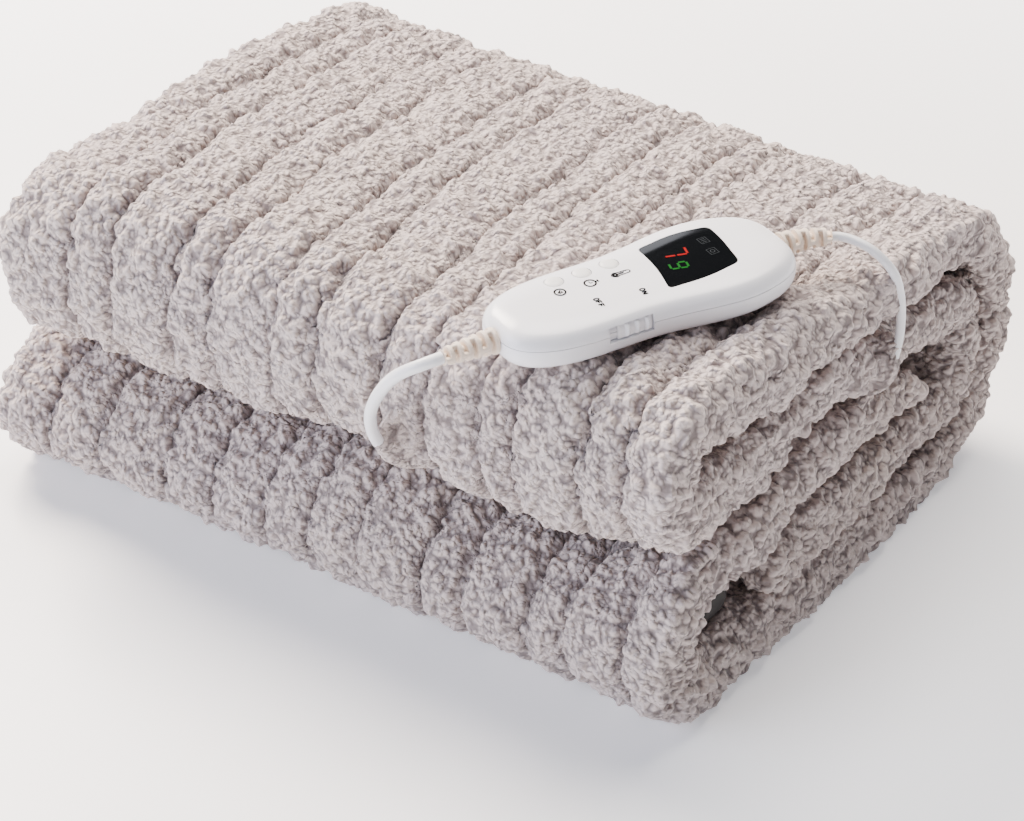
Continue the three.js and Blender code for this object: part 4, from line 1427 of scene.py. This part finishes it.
        for kind, inputs, settings in (
            # The open faces, cut fine, with the cloth's own normals kept.
            ("StoreNamedAttribute", {"Name": "upright", "Value": found["normal"]}, vector),
            ("SeparateGeometry", {"Selection": grown.outputs[0]}, {"domain": "FACE"}),
            ("SubdivideMesh", {"Level": given["Fineness"]}, {}),
            # The crevice mask stored as crease for the painted crevice shade, the crevices pressed in, and
            # the pile's directions and places taken from there.
            ("StoreNamedAttribute", {"Name": "crease", "Value": found["crevice"]}, number),
            ("SetPosition", {"Offset": found["down"]}, {}),
            ("StoreNamedAttribute", {"Name": "upright", "Value": found["leaning"]}, vector),
            ("StoreNamedAttribute", {"Name": "nap", "Value": found["place"]}, vector),
            # The pile raised, then held between the floor and the handset.
            ("SetPosition", {"Offset": found["offset"]}, {}),
            ("SetPosition", {"Position": held.outputs[0]}, {}),
            ("SetShadeSmooth", {}, {}),
            ("RealizeInstances", {}, {}),
            ("SetMaterial", {"Material": given["Finish"]}, {}),
        ):
            geometry = add_node(tree, "GeometryNode" + kind, {0: geometry, **inputs}, **settings).outputs[0]
        add_node(tree, "NodeGroupOutput", {"Geometry": geometry})
        return tree

    def split_tree(self) -> Tree:
        """Builds the node tree that keeps the faces of one region, whose number is its input."""
        tree, given = self.new_tree("pile_region", {"Region": "Int"})
        region = add_node(tree, "GeometryNodeInputNamedAttribute", {"Name": "region"}, data_type="INT")
        pair = {2: region.outputs["Attribute"], 3: given["Region"]}
        here = add_node(tree, "FunctionNodeCompare", pair, data_type="INT", operation="EQUAL")
        chosen = {"Geometry": given["Geometry"], "Selection": here.outputs[0]}
        part = add_node(tree, "GeometryNodeSeparateGeometry", chosen, domain="FACE")
        add_node(tree, "NodeGroupOutput", {"Geometry": part.outputs["Selection"]})
        return tree

    def run(self, name: str, mesh: bpy.types.Mesh, tree: Tree, values: dict[str, object]) -> Piece:
        """Runs a node tree on a copy of a mesh.

        Args:
            name: The result's name.
            mesh: The mesh.
            tree: The node tree.
            values: The tree's inputs by name.

        Returns:
            The result as a plain mesh object.
        """
        carrier = add_object(name, mesh.copy())
        modifier = carrier.modifiers.new("nodes", "NODES")
        modifier.node_group = tree
        for item in tree.interface.items_tree:
            if item.in_out == "INPUT" and item.name in values:
                modifier[item.identifier] = values[item.name]
        return applied(carrier)

    def nest(self, made: Piece) -> None:
        """Lets the pile rise round the leads that lie on it, and close over them where they go in."""
        mesh = made.data
        places, _ = self.vectors(mesh)
        upright = read_vectors(mesh.attributes["upright"].data, "vector")
        upright = upright / np.linalg.norm(upright, axis=1)[:, None].clip(1e-6)
        nap = read_vectors(mesh.attributes["nap"].data, "vector")
        leads = ((MAINS_ROUTE, 3.0, self.mains_sinks), (LEAD_ROUTE, 2.3, self.lead_sinks))
        for route, radius, levels in leads:
            path = catmull_rom(np.array(route, float), 2.0)
            cover = (radius + self.nest_cover) * (1 - eased(path[:, 2], *levels))
            low, high = ((path.min(0) - self.nest_edge) * MM, (path.max(0) + self.nest_edge) * MM)
            near = np.all((places > low) & (places < high), axis=1)
            for chosen in np.array_split(np.flatnonzero(near), self.nest_batches):
                point = places[chosen] / MM
                away = np.linalg.norm(point[:, None] - path[None], axis=2)
                nearest = away.argmin(axis=1)
                close = away.min(axis=1) < self.nest_far
                chosen, nearest = chosen[close], nearest[close]
                rel, up = path[nearest] - places[chosen] / MM, upright[chosen]
                above = np.einsum("ij,ij->i", rel, up)
                aside = np.linalg.norm(rel - up * above[:, None], axis=1)
                share = 1 - eased(aside, radius * 0.8, self.nest_reach)
                share *= 1 - eased(above, *self.nest_fade)
                rise = np.maximum(above + cover[nearest], 0) * share
                places[chosen] += up * rise[:, None] * MM
                nap[chosen] += up * rise[:, None] * MM
        places[:, 2] = places[:, 2].clip(self.clear * MM)
        mesh.attributes["nap"].data.foreach_set("vector", nap.ravel())
        move_vertices(mesh, places)

    def grow(self, base: Piece) -> list[Piece]:
        """Grows the pile on the smooth cloth and parts it into its regions.

        Args:
            base: The smooth cloth, which is removed.

        Returns:
            The pile's pieces as plain meshes.
        """
        turn = PLACE.matrix()
        sizes = {
            "Nubs per Metre": 1 / (FLEECE.nub_mm * MM),
            "Nub Height": self.nub_height * MM,
            "Curls per Metre": 1 / (FLEECE.curl_mm * MM),
            "Curl Height": self.curl_height * MM,
            "Clumps per Metre": 1 / (self.clump_size * MM),
            "Clump Height": self.clump_height * MM,
            "Rib Reach": self.rib_reach * MM,
            "Crevice Reach": self.crevice_reach * MM,
            "Ragged": self.ragged * MM,
            "Floor": self.clear * MM,
            "Bed": (PLACE.z - 0.2) * MM,
            "Bed U": self.bed_u * MM,
            "Bed V": self.bed_v * MM,
            "Handset": turn.translation * MM,
            "U Axis": turn.col[0].xyz,
            "V Axis": turn.col[1].xyz,
            "Fineness": 2,
            "Finish": FLEECE.material(),
        }
        whole = self.run("pile", base.data, self.pile_tree(), sizes)
        self.nest(whole)
        splitter = self.split_tree()
        pieces = []
        # Every region but the first, which is bare.
        for region in list(Region)[1:]:
            piece = self.run("pile_" + region.name.lower(), whole.data, splitter, {"Region": region.value})
            for layer in ("rib", "rib_wide", "rib_deep", "grows", "region", "upright"):
                piece.data.attributes.remove(piece.data.attributes[layer])
            pieces.append(piece)
        bpy.data.objects.remove(whole)
        bpy.data.objects.remove(base)
        return pieces

    def build(self) -> None:
        """Makes the cloth and its pile."""
        base, ground = self.cloth()
        for piece in [ground, *self.grow(base)]:
            register(piece, Body.SET, Slot.FLEECE, "blanket")


# ---------------------------------------------------------------- handset


@dataclass
class HandsetForm:
    """The handset's outer form: a rounded bar, wider at its display end."""

    end_power: float = 0.625
    half_width: tuple[Pair, ...] = ((-60, 29.8), (-12, 28), (48, 35.3))
    side: tuple[Pair, ...] = (
        (6.5, 0), (3.2, 1.2), (0.9, 4), (0, 8), (0.3, 12.5), (1.6, 15.5), (4.2, 17.8), (9, 19.2), (16, 19.9),
        (23, 20)
    )
    plan_points: int = 176

    def levels(self) -> np.ndarray:
        """The side's smooth outline, as rows of inset and height."""
        return catmull_rom(np.array(self.side, float), 0.8)

    def solid(self, name: str, inset: float = 0.0) -> Piece:
        """Makes the closed form in the handset's own frame.

        Args:
            name: The object's name.
            inset: How far it is drawn in all round.

        Returns:
            The object.
        """
        levels = self.levels()
        away = levels[:, :1] + inset
        w = levels[:, 1:] - inset * (levels[:, 1:] - PLACE.height / 2) / (PLACE.height / 2)
        angle = ring_angles(self.plan_points)[None, :]
        u = squared(np.cos(angle), self.end_power) * (PLACE.long / 2 - away)
        v = squared(np.sin(angle), self.end_power) * (eased_rows(self.half_width, u) - away)
        rings = np.stack([u, v, np.broadcast_to(w, u.shape)], axis=-1)
        return make_mesh(name, *loft(rings[::-1]), SHELL_ABS.material())

    def near_side(self, u: np.ndarray, w: np.ndarray, inset: float) -> np.ndarray:
        """The v of the side away from the buttons, at a place along it and a height."""
        levels = self.levels()
        away = np.interp(w, levels[:, 1], levels[:, 0]) + inset
        c = (np.abs(u) / (PLACE.long / 2 - away)) ** (1 / self.end_power)
        return -((1 - c**2) ** (self.end_power / 2)) * (eased_rows(self.half_width, u) - away)

    def height(self, u: np.ndarray, v: np.ndarray) -> np.ndarray:
        """The height of the top face above a place.

        Args:
            u: Places along the length.
            v: Places across.

        Returns:
            The heights.
        """
        low, high = np.zeros_like(u), np.full_like(u, 27.0)
        power = 2 / self.end_power
        for _ in range(30):
            middle = (low + high) / 2
            reach = np.abs(u / (PLACE.long / 2 - middle)) ** power
            reach += np.abs(v / (eased_rows(self.half_width, u) - middle)) ** power
            low, high = np.where(reach < 1, middle, low), np.where(reach < 1, high, middle)
        levels = self.levels()
        top = levels[levels[:, 1] > 12.5]
        return np.interp(low, top[:, 0], top[:, 1])


@dataclass(frozen=True)
class Stroke:
    """A printed or lit line through points, in the handset's u and v."""

    points: tuple[Pair, ...]
    wide: float
    closed: bool = False


@dataclass
class Handset:
    """The two shells with their switch, keys, display window, prints and strain reliefs."""

    form: HandsetForm = field(default_factory=HandsetForm)
    beyond: float = 60.0
    split: float = 11.6
    gap: float = 0.3
    sharp: float = 32.0
    window: tuple[Triple, ...] = (
        (10.2, 18.6, 3), (32, 21.8, 9), (49.8, 18.4, 3.4), (49.2, 6, 6), (45.2, -15.4, 3.4), (26, -18.8, 9),
        (4.4, -17.6, 2.8), (9.2, 0.5, 9),
    )
    window_low: float = 16.0
    window_gap: float = 0.22
    key_radius: float = 4.5
    key_v: float = 14.4
    key_shift: float = -1.8
    key_low: float = 16.6
    key_top: float = 19.3
    key_dome: float = 1.1
    key_gap: float = 0.35
    slide_from: float = -28.7
    slide_to: float = -10.0
    slide_low: float = 8.1
    slide_high: float = 15.3
    slide_travel: float = 5.0
    slot_gaps: Pair = (0.4, 0.25)
    slot_v: float = -20.6
    slot_deep: float = 2.6
    slide_sunk: float = 1.3
    slide_back: float = 2.5
    slide_round: float = 0.5
    slide_rib_half: float = 1.1
    slide_rib_rise: float = 1.9
    neck: float = 4.5
    neck_gap: float = 0.3
    neck_deep: float = 12.0
    neck_out: float = 6.8
    neck_w: float = 9.5
    relief_long: float = 27.0
    relief_base: float = 6.5
    relief_tip: float = 4.2
    relief_rings: int = 6
    relief_slit: Pair = (0.4, 0.5)
    relief_slit_end: Pair = (0.92, 1.0)
    relief_bridge: Pair = (0.22, 0.32)
    relief_groove: float = 2.8
    relief_edge: float = 0.25
    lead_bend: float = -26.0
    print_rise: float = 0.15
    print_lean: float = 6.0
    letter_tall: float = 2.5
    letter_wide: float = 1.65
    letter_pitch: float = 2.6
    letter_stroke: float = 0.78
    figure_lean: float = 15.0

    # ---- cutters, in the handset's own frame

    def box(self, low: Triple, high: Triple) -> Piece:
        """A cutting block from its lowest to its highest corner."""
        corners = [(x, y, z) for x in (low[0], high[0]) for y in (low[1], high[1]) for z in (low[2], high[2])]
        faces = [(0, 1, 3, 2), (4, 6, 7, 5), (0, 4, 5, 1), (2, 3, 7, 6), (0, 2, 6, 4), (1, 5, 7, 3)]
        return make_mesh("block", np.array(corners, float), faces, SHELL_ABS.material())

    def turned(self, name: str, profile: np.ndarray, sides: int, material: bpy.types.Material) -> Piece:
        """Turns a profile of radius and height around W.

        Args:
            name: The object's name.
            profile: Rows of radius and height, from the lowest.
            sides: The number of sides, an even number.
            material: The finish.

        Returns:
            The closed object.
        """
        angle = ring_angles(sides)
        circle = np.column_stack([np.cos(angle), np.sin(angle), np.zeros(sides)])
        rings = np.array([circle * max(r, 0.02) + (0, 0, w) for r, w in profile])
        return make_mesh(name, *loft(rings[::-1]), material, 40)

    def plate(self, name: str, shrink: float, low: float, high: float) -> Piece:
        """A plate in the window's outline.

        Args:
            name: The object's name.
            shrink: How far its corners are drawn in.
            low: Its lowest w.
            high: Its highest w.

        Returns:
            The closed object.
        """
        corners = np.array(self.window)
        middle = corners[:, :2].mean(axis=0)
        drawn = corners[:, :2] - np.sign(corners[:, :2] - middle) * shrink
        outline = []
        for i, corner in enumerate(drawn):
            before, after, radius = drawn[i - 1], drawn[(i + 1) % len(drawn)], corners[i, 2]
            enter = corner + (before - corner) * radius / np.linalg.norm(before - corner)
            leave = corner + (after - corner) * radius / np.linalg.norm(after - corner)
            for t in np.linspace(0, 1, 9):
                outline.append((1 - t) ** 2 * enter + 2 * t * (1 - t) * corner + t**2 * leave)
        outline = np.array(outline)[::-1]
        n = len(outline)
        low_ring = np.column_stack([outline, np.full(n, low)])
        high_ring = np.column_stack([outline, np.full(n, high)])
        faces = [(i, (i + 1) % n, n + (i + 1) % n, n + i) for i in range(n)]
        faces += [tuple(reversed(range(n))), tuple(range(n, 2 * n))]
        return make_mesh(name, np.vstack([low_ring, high_ring]), faces, WINDOW_ACRYLIC.material())

    def placed(self, made: Piece) -> Piece:
        """Moves a mesh from the handset's own frame to its place."""
        to_metres = Matrix.Scale(MM, 4)
        made.data.transform(to_metres @ PLACE.matrix() @ to_metres.inverted())
        made.data.update()
        return made

    def necks(self) -> list[tuple[str, Piece]]:
        """The cutters of the holes that the strain reliefs enter."""
        cutters = []
        for end in (-1, 1):
            wide = self.neck + self.neck_gap
            profile = np.array([(wide, -self.neck_deep), (wide, self.neck_out)])
            hole = self.turned("neck_hole", profile, 48, SHELL_ABS.material())
            turn = Matrix.Rotation(math.radians(-90 * end), 4, "Y")
            hole.data.transform(Matrix.Translation((end * PLACE.long / 2 * MM, 0, self.neck_w * MM)) @ turn)
            cutters.append(("DIFFERENCE", hole))
        return cutters

    def over_key(self, made: Piece, u: float) -> Piece:
        """Moves a form from the handset's middle to the key at u."""
        made.data.transform(Matrix.Translation(((u + self.key_shift) * MM, self.key_v * MM, 0)))
        return made

    # ---- pieces

    def slot(self) -> tuple[str, Piece]:
        """The cutter of the switch's recess, as deep all along as the switch is thick."""
        block = self.box(
            (
                self.slide_from - self.slide_travel - self.slot_gaps[0], -self.beyond,
                self.slide_low - self.gap
            ), (self.slide_to + self.slot_gaps[1], self.slot_v, self.slide_high + self.gap)
        )
        core = self.form.solid("core", self.slot_deep)
        return ("DIFFERENCE", cut(block, [("DIFFERENCE", core)], 30))

    def shells(self) -> None:
        """Makes the upper and lower shells and the display window."""
        half, wide = PLACE.long / 2 + 2, self.beyond
        bottom = self.box((-half, -wide, -1), (half, wide, self.split - self.gap / 2))
        lower = cut(
            self.form.solid("shell_lower"), [("INTERSECT", bottom), self.slot(), *self.necks()], self.sharp
        )
        register(self.placed(lower), Body.SET, Slot.ABS, "handset_lower_shell")
        wide_key = self.key_radius + self.key_gap
        pocket = np.array([(wide_key, self.key_low - 1.2), (wide_key, 26.0)])
        pockets = [
            ("DIFFERENCE", self.over_key(self.turned("pocket", pocket, 48, SHELL_ABS.material()), u))
            for u in KEYS.values()
        ]
        upper = cut(
            self.form.solid("shell_upper"),
            [
                ("INTERSECT", self.box((-half, -wide, self.split + self.gap / 2), (half, wide, 22))),
                self.slot(), *self.necks(), *pockets,
                ("DIFFERENCE", self.plate("opening", 0.0, self.window_low, 23))
            ], self.sharp
        )
        register(self.placed(upper), Body.SET, Slot.ABS, "handset_upper_shell")
        pane = self.plate("window_pane", self.window_gap, self.window_low + 0.3, 23)
        glass = cut(pane, [("INTERSECT", self.form.solid("limit"))], self.sharp)
        register(self.placed(glass), Body.SET, Slot.WINDOW, "display_window")

    def keys(self) -> None:
        """Makes the three domed keys."""
        arc = np.linspace(0, math.pi / 2, 12)
        dome = np.column_stack(
            [self.key_radius * np.cos(arc) ** 0.8, self.key_top + self.key_dome * np.sin(arc)]
        )
        profile = np.vstack([[(self.key_radius, self.key_low)], dome])
        for body, (node, u) in zip((Body.POWER_KEY, Body.TIMER_KEY, Body.HEAT_KEY), KEYS.items()):
            key = self.turned(node + "_cap", profile, 64, KEY_SILICONE.material())
            register(self.placed(self.over_key(key, u)), body, Slot.BUTTON, node)

    def slide(self) -> None:
        """Makes the sliding switch: a curved cap with three lens-shaped ribs."""
        across, up = 96, 28
        u = np.linspace(self.slide_from, self.slide_to, across)[:, None]
        w = np.linspace(self.slide_low, self.slide_high, up)[None, :]
        u, w = np.broadcast_arrays(u, w)
        pitch = (self.slide_to - self.slide_from) / 3.5
        middle = (self.slide_low + self.slide_high) / 2
        half = (self.slide_high - self.slide_low) / 2
        rib = np.zeros_like(u)
        for i in range(3):
            off = (u - (self.slide_from + pitch * (i + 0.9))) / self.slide_rib_half
            tall = (w - middle) / (half * 0.9)
            rib = np.maximum(rib, np.sqrt(np.clip(1 - off**2, 0, 1)) * np.sqrt(np.clip(1 - tall**2, 0, 1)))
        edge = np.minimum(np.minimum(u - self.slide_from, self.slide_to - u), half - np.abs(w - middle))
        rounded = self.slide_round * (1 - np.sqrt(1 - (1 - np.clip(edge / self.slide_round, 0, 1)) ** 2))
        front = self.form.near_side(u, w, self.slide_sunk) - rib * self.slide_rib_rise + rounded
        back = self.form.near_side(u, w, self.slide_back)
        rings = np.concatenate([np.stack([u, front, w], -1), np.stack([u, back, w], -1)[:, ::-1]], axis=1)
        knob = make_mesh("slide_cap", *loft(rings), SHELL_ABS.material(), 50)
        register(self.placed(knob), Body.SLIDE, Slot.ABS, "power_slide")

    def relief(self, name: str, node: str, end: int, bend: float) -> None:
        """Makes one strain relief: rings joined by staggered bridges.

        Args:
            name: The piece's name.
            node: The CAD node it stands for.
            end: The sign of the handset's end.
            bend: How far its tip turns sideways, in degrees.
        """
        pitch = self.relief_long / self.relief_rings
        s = np.concatenate([np.array([-6.5, -6.4, 0.2]), np.linspace(0.3, self.relief_long, 118)])
        s, a = np.meshgrid(s, ring_angles(64), indexing="ij")
        outer = self.relief_base + (self.relief_tip - self.relief_base) * np.clip(s / self.relief_long, 0, 1)
        phase = (s / pitch) % 1.0
        ring = eased(phase, *self.relief_slit) * (1 - eased(phase, *self.relief_slit_end))
        turn = a + (np.floor(s / pitch) % 2) * math.pi / 2
        bridge = 1 - eased(np.abs(np.cos(turn)), *self.relief_bridge)
        tip = self.relief_edge * eased(s, self.relief_long - 0.7, self.relief_long)
        radius = outer - self.relief_groove * ring * (1 - bridge) - tip
        radius = np.where(s < 0.25, self.neck, radius)
        curve = math.radians(bend) / self.relief_long
        turned = np.maximum(s, 0) * curve
        v, w = radius * np.cos(a), radius * np.sin(a)
        if curve:
            x = np.where(s > 0, np.sin(turned) / curve - v * np.sin(turned), s)
            y = np.where(s > 0, (1 - np.cos(turned)) / curve + v * np.cos(turned), v)
        else:
            x, y = s, v
        rings = np.stack([x, y, w], axis=-1)
        if end < 0:
            rings[..., :2] *= -1
        rings += np.array([end * PLACE.long / 2, 0, self.neck_w])
        made = make_mesh(name, *loft(rings[::-1]), RELIEF_RUBBER.material(), 60)
        register(self.placed(made), Body.SET, Slot.RUBBER, node)

    # ---- prints and the display's figures

    def lines(self, name: str, strokes: list[Stroke], finish: Finish, slot: Slot) -> None:
        """Lays flat strokes on the top face.

        Args:
            name: The piece's name.
            strokes: The strokes.
            finish: Their finish.
            slot: Their material slot.
        """
        vertices: list[Pair] = []
        faces: list[tuple[int, ...]] = []
        for stroke in strokes:
            path = np.array(stroke.points, float)
            if stroke.closed:
                ahead, behind = np.roll(path, -1, 0), np.roll(path, 1, 0)
            else:
                ahead, behind = np.vstack([path[1:], path[-1:]]), np.vstack([path[:1], path[:-1]])
            heading = ahead - behind
            heading /= np.linalg.norm(heading, axis=1)[:, None]
            aside = np.column_stack([-heading[:, 1], heading[:, 0]]) * stroke.wide / 2
            start, count = len(vertices), len(path)
            vertices += [tuple(p) for p in path + aside] + [tuple(p) for p in path - aside]
            for i in range(count if stroke.closed else count - 1):
                j = (i + 1) % count
                faces.append((start + i, start + count + i, start + count + j, start + j))
        flat = np.array(vertices)
        w = self.form.height(flat[:, 0], flat[:, 1]) + self.print_rise
        made = make_mesh(name, np.column_stack([flat, w]), faces, finish.material())
        register(self.placed(made), Body.SET, slot)

    def leaned(self, up: np.ndarray, aside: np.ndarray, lean: float) -> tuple[np.ndarray, np.ndarray]:
        """Turns offsets towards the display end and the keys by a lean in degrees, into u and v."""
        c, s = math.cos(math.radians(lean)), math.sin(math.radians(lean))
        return up * c + aside * s, aside * c - up * s

    def word(self, text: str, u: float, v: float) -> None:
        """Prints a word that reads away from the buttons, with its top towards the display.

        Args:
            text: The word.
            u: Its middle along the length.
            v: Its middle across.
        """
        tall, wide, pitch, stroke = self.letter_tall, self.letter_wide, self.letter_pitch, self.letter_stroke
        over = stroke / 2
        shapes = {
            "O": [(self.circle(0.0, 0.0, 0.5), True)],
            "F": [(((-0.5, -0.5), (0.5 + over / tall, -0.5)), False), (((0.5, -0.5), (0.5, 0.5)), False),
                  (((0.02, -0.5), (0.02, 0.35)), False)],
            "N": [(((-0.5, -0.5), (0.5, -0.5)), False), (((0.5, -0.5), (-0.5, 0.5)), False),
                  (((-0.5, 0.5), (0.5, 0.5)), False)],
        }
        strokes = []
        for i, letter in enumerate(text):
            middle = (i - (len(text) - 1) / 2) * pitch
            for path, closed in shapes[letter]:
                ends = np.array(path) * (tall, wide)
                along, across = self.leaned(ends[:, 0], -middle - ends[:, 1], self.print_lean)
                strokes.append(Stroke(tuple(zip(u + along, v + across)), stroke, closed))
        self.lines(f"print_{text.lower()}", strokes, PRINT_INK, Slot.BUTTON)

    def circle(self, u: float, v: float, radius: float) -> tuple[Pair, ...]:
        """The points of a ring."""
        turns = np.linspace(0, 2 * math.pi, 40, endpoint=False)
        return tuple((u + radius * math.cos(t), v + radius * math.sin(t)) for t in turns)

    def prints(self) -> None:
        """Prints the switch's words and the keys' signs."""
        self.word("OFF", -29.7, -11.4)
        self.word("ON", -7.0, -13.8)
        strokes = [
            # On key: a ring round a small wedge.
            Stroke(self.circle(-40.4, 4.9, 2.6), 0.9, True),
            Stroke(((-41.6, 4.3), (-39.7, 6.1), (-39.4, 4.2), (-41.0, 4.2)), 0.9, True),
            # Timer key: a stopwatch.
            Stroke(self.circle(-24.5, 4.3, 2.7), 0.9, True),
            Stroke(((-24.5, 5.7), (-24.5, 4.2), (-23.2, 4.2)), 0.55),
            Stroke(((-21.6, 4.3), (-20.4, 4.3)), 0.8),
            Stroke(((-20.3, 3.3), (-20.3, 5.3)), 0.7),
            # Heat key: a thermometer with its marks.
            Stroke(self.circle(-10.9, 4.2, 0.9), 1.1, True),
            Stroke(
                ((-9.3, 5.5), (-3.9, 5.3), (-3.2, 4.9), (-3.0, 4.2), (-3.2, 3.5), (-3.9, 3.1), (-9.3, 2.9),
                 (-10.7, 2.3), (-12.2, 3.0), (-12.9, 4.2), (-12.2, 5.4), (-10.7, 6.1)),
                0.6,
                True,
            ),
            Stroke(((-9.6, 4.2), (-6.4, 4.2)), 0.8),
            Stroke(((-7.4, 5.4), (-7.4, 4.7)), 0.45),
            Stroke(((-6.0, 5.4), (-6.0, 4.7)), 0.45),
            Stroke(((-4.7, 5.3), (-4.7, 4.6)), 0.45),
        ]
        self.lines("print_signs", strokes, PRINT_INK, Slot.BUTTON)

    def figure(self, segments: str, u: float, v: float, tall: float, wide: float) -> list[Stroke]:
        """Strokes of a seven-segment figure.

        Args:
            segments: The lit segments, a to g.
            u: The figure's middle along the length.
            v: Its middle across.
            tall: Its height, towards the display end.
            wide: Its width.

        Returns:
            The strokes.
        """
        h, b, g = tall / 2, wide / 2, 0.5
        place = {
            "a": ((h, b - g), (h, -b + g)),
            "b": ((h - g, -b), (g, -b)),
            "c": ((-g, -b), (-h + g, -b)),
            "d": ((-h, -b + g), (-h, b - g)),
            "e": ((-g, b), (-h + g, b)),
            "f": ((h - g, b), (g, b)),
            "g": ((0, b - g), (0, -b + g)),
        }
        strokes = []
        for segment in segments:
            ends = np.array(place[segment])
            along, across = self.leaned(ends[:, 0], ends[:, 1], self.figure_lean)
            strokes.append(Stroke(tuple(zip(u + along, v + across)), 1.1))
        return strokes

    def display(self) -> None:
        """Lights the two figures and draws the two unlit icons, which glow faintly with a painted glow."""
        self.lines("figure_red", self.figure("abc", 23.4, 6.9, 11.4, 6.0), RED_SEGMENT, Slot.WINDOW)
        self.lines("figure_green", self.figure("abcdfg", 18.8, -3.9, 8.4, 4.8), GREEN_SEGMENT, Slot.WINDOW)
        icons = []
        for u, v in ((40.7, 8.4), (39.2, -1.6)):
            frame_ends = ((u - 2.2, v - 2.4), (u + 2.2, v - 2.4), (u + 2.2, v + 2.4), (u - 2.2, v + 2.4))
            icons.append(Stroke(frame_ends, 0.34, True))
        icons += [Stroke(((39.4, 8.4 + d), (42.0, 8.4 + d)), 0.34) for d in (-1.3, 0.0, 1.3)]
        icons.append(Stroke(self.circle(39.2, -1.6, 1.1), 0.34, True))
        self.lines("display_icons", icons, ICON_PAINTED_GLOW, Slot.WINDOW)

    def build(self) -> None:
        """Makes the whole handset."""
        self.shells()
        self.keys()
        self.slide()
        self.relief("relief_mains", "mains_relief", -1, 0.0)
        self.relief("relief_lead", "lead_relief", 1, self.lead_bend)
        self.prints()
        self.display()


def main() -> None:
    """Builds the studio, the leads, the fleece and the handset."""
    logging.basicConfig(level=logging.INFO, format="%(name)s: %(message)s")
    Studio().build()
    MainsLead().build()
    BlanketLead().build()
    FoldedFleece().build()
    Handset().build()
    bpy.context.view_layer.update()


if __name__ == "__main__":
    main()
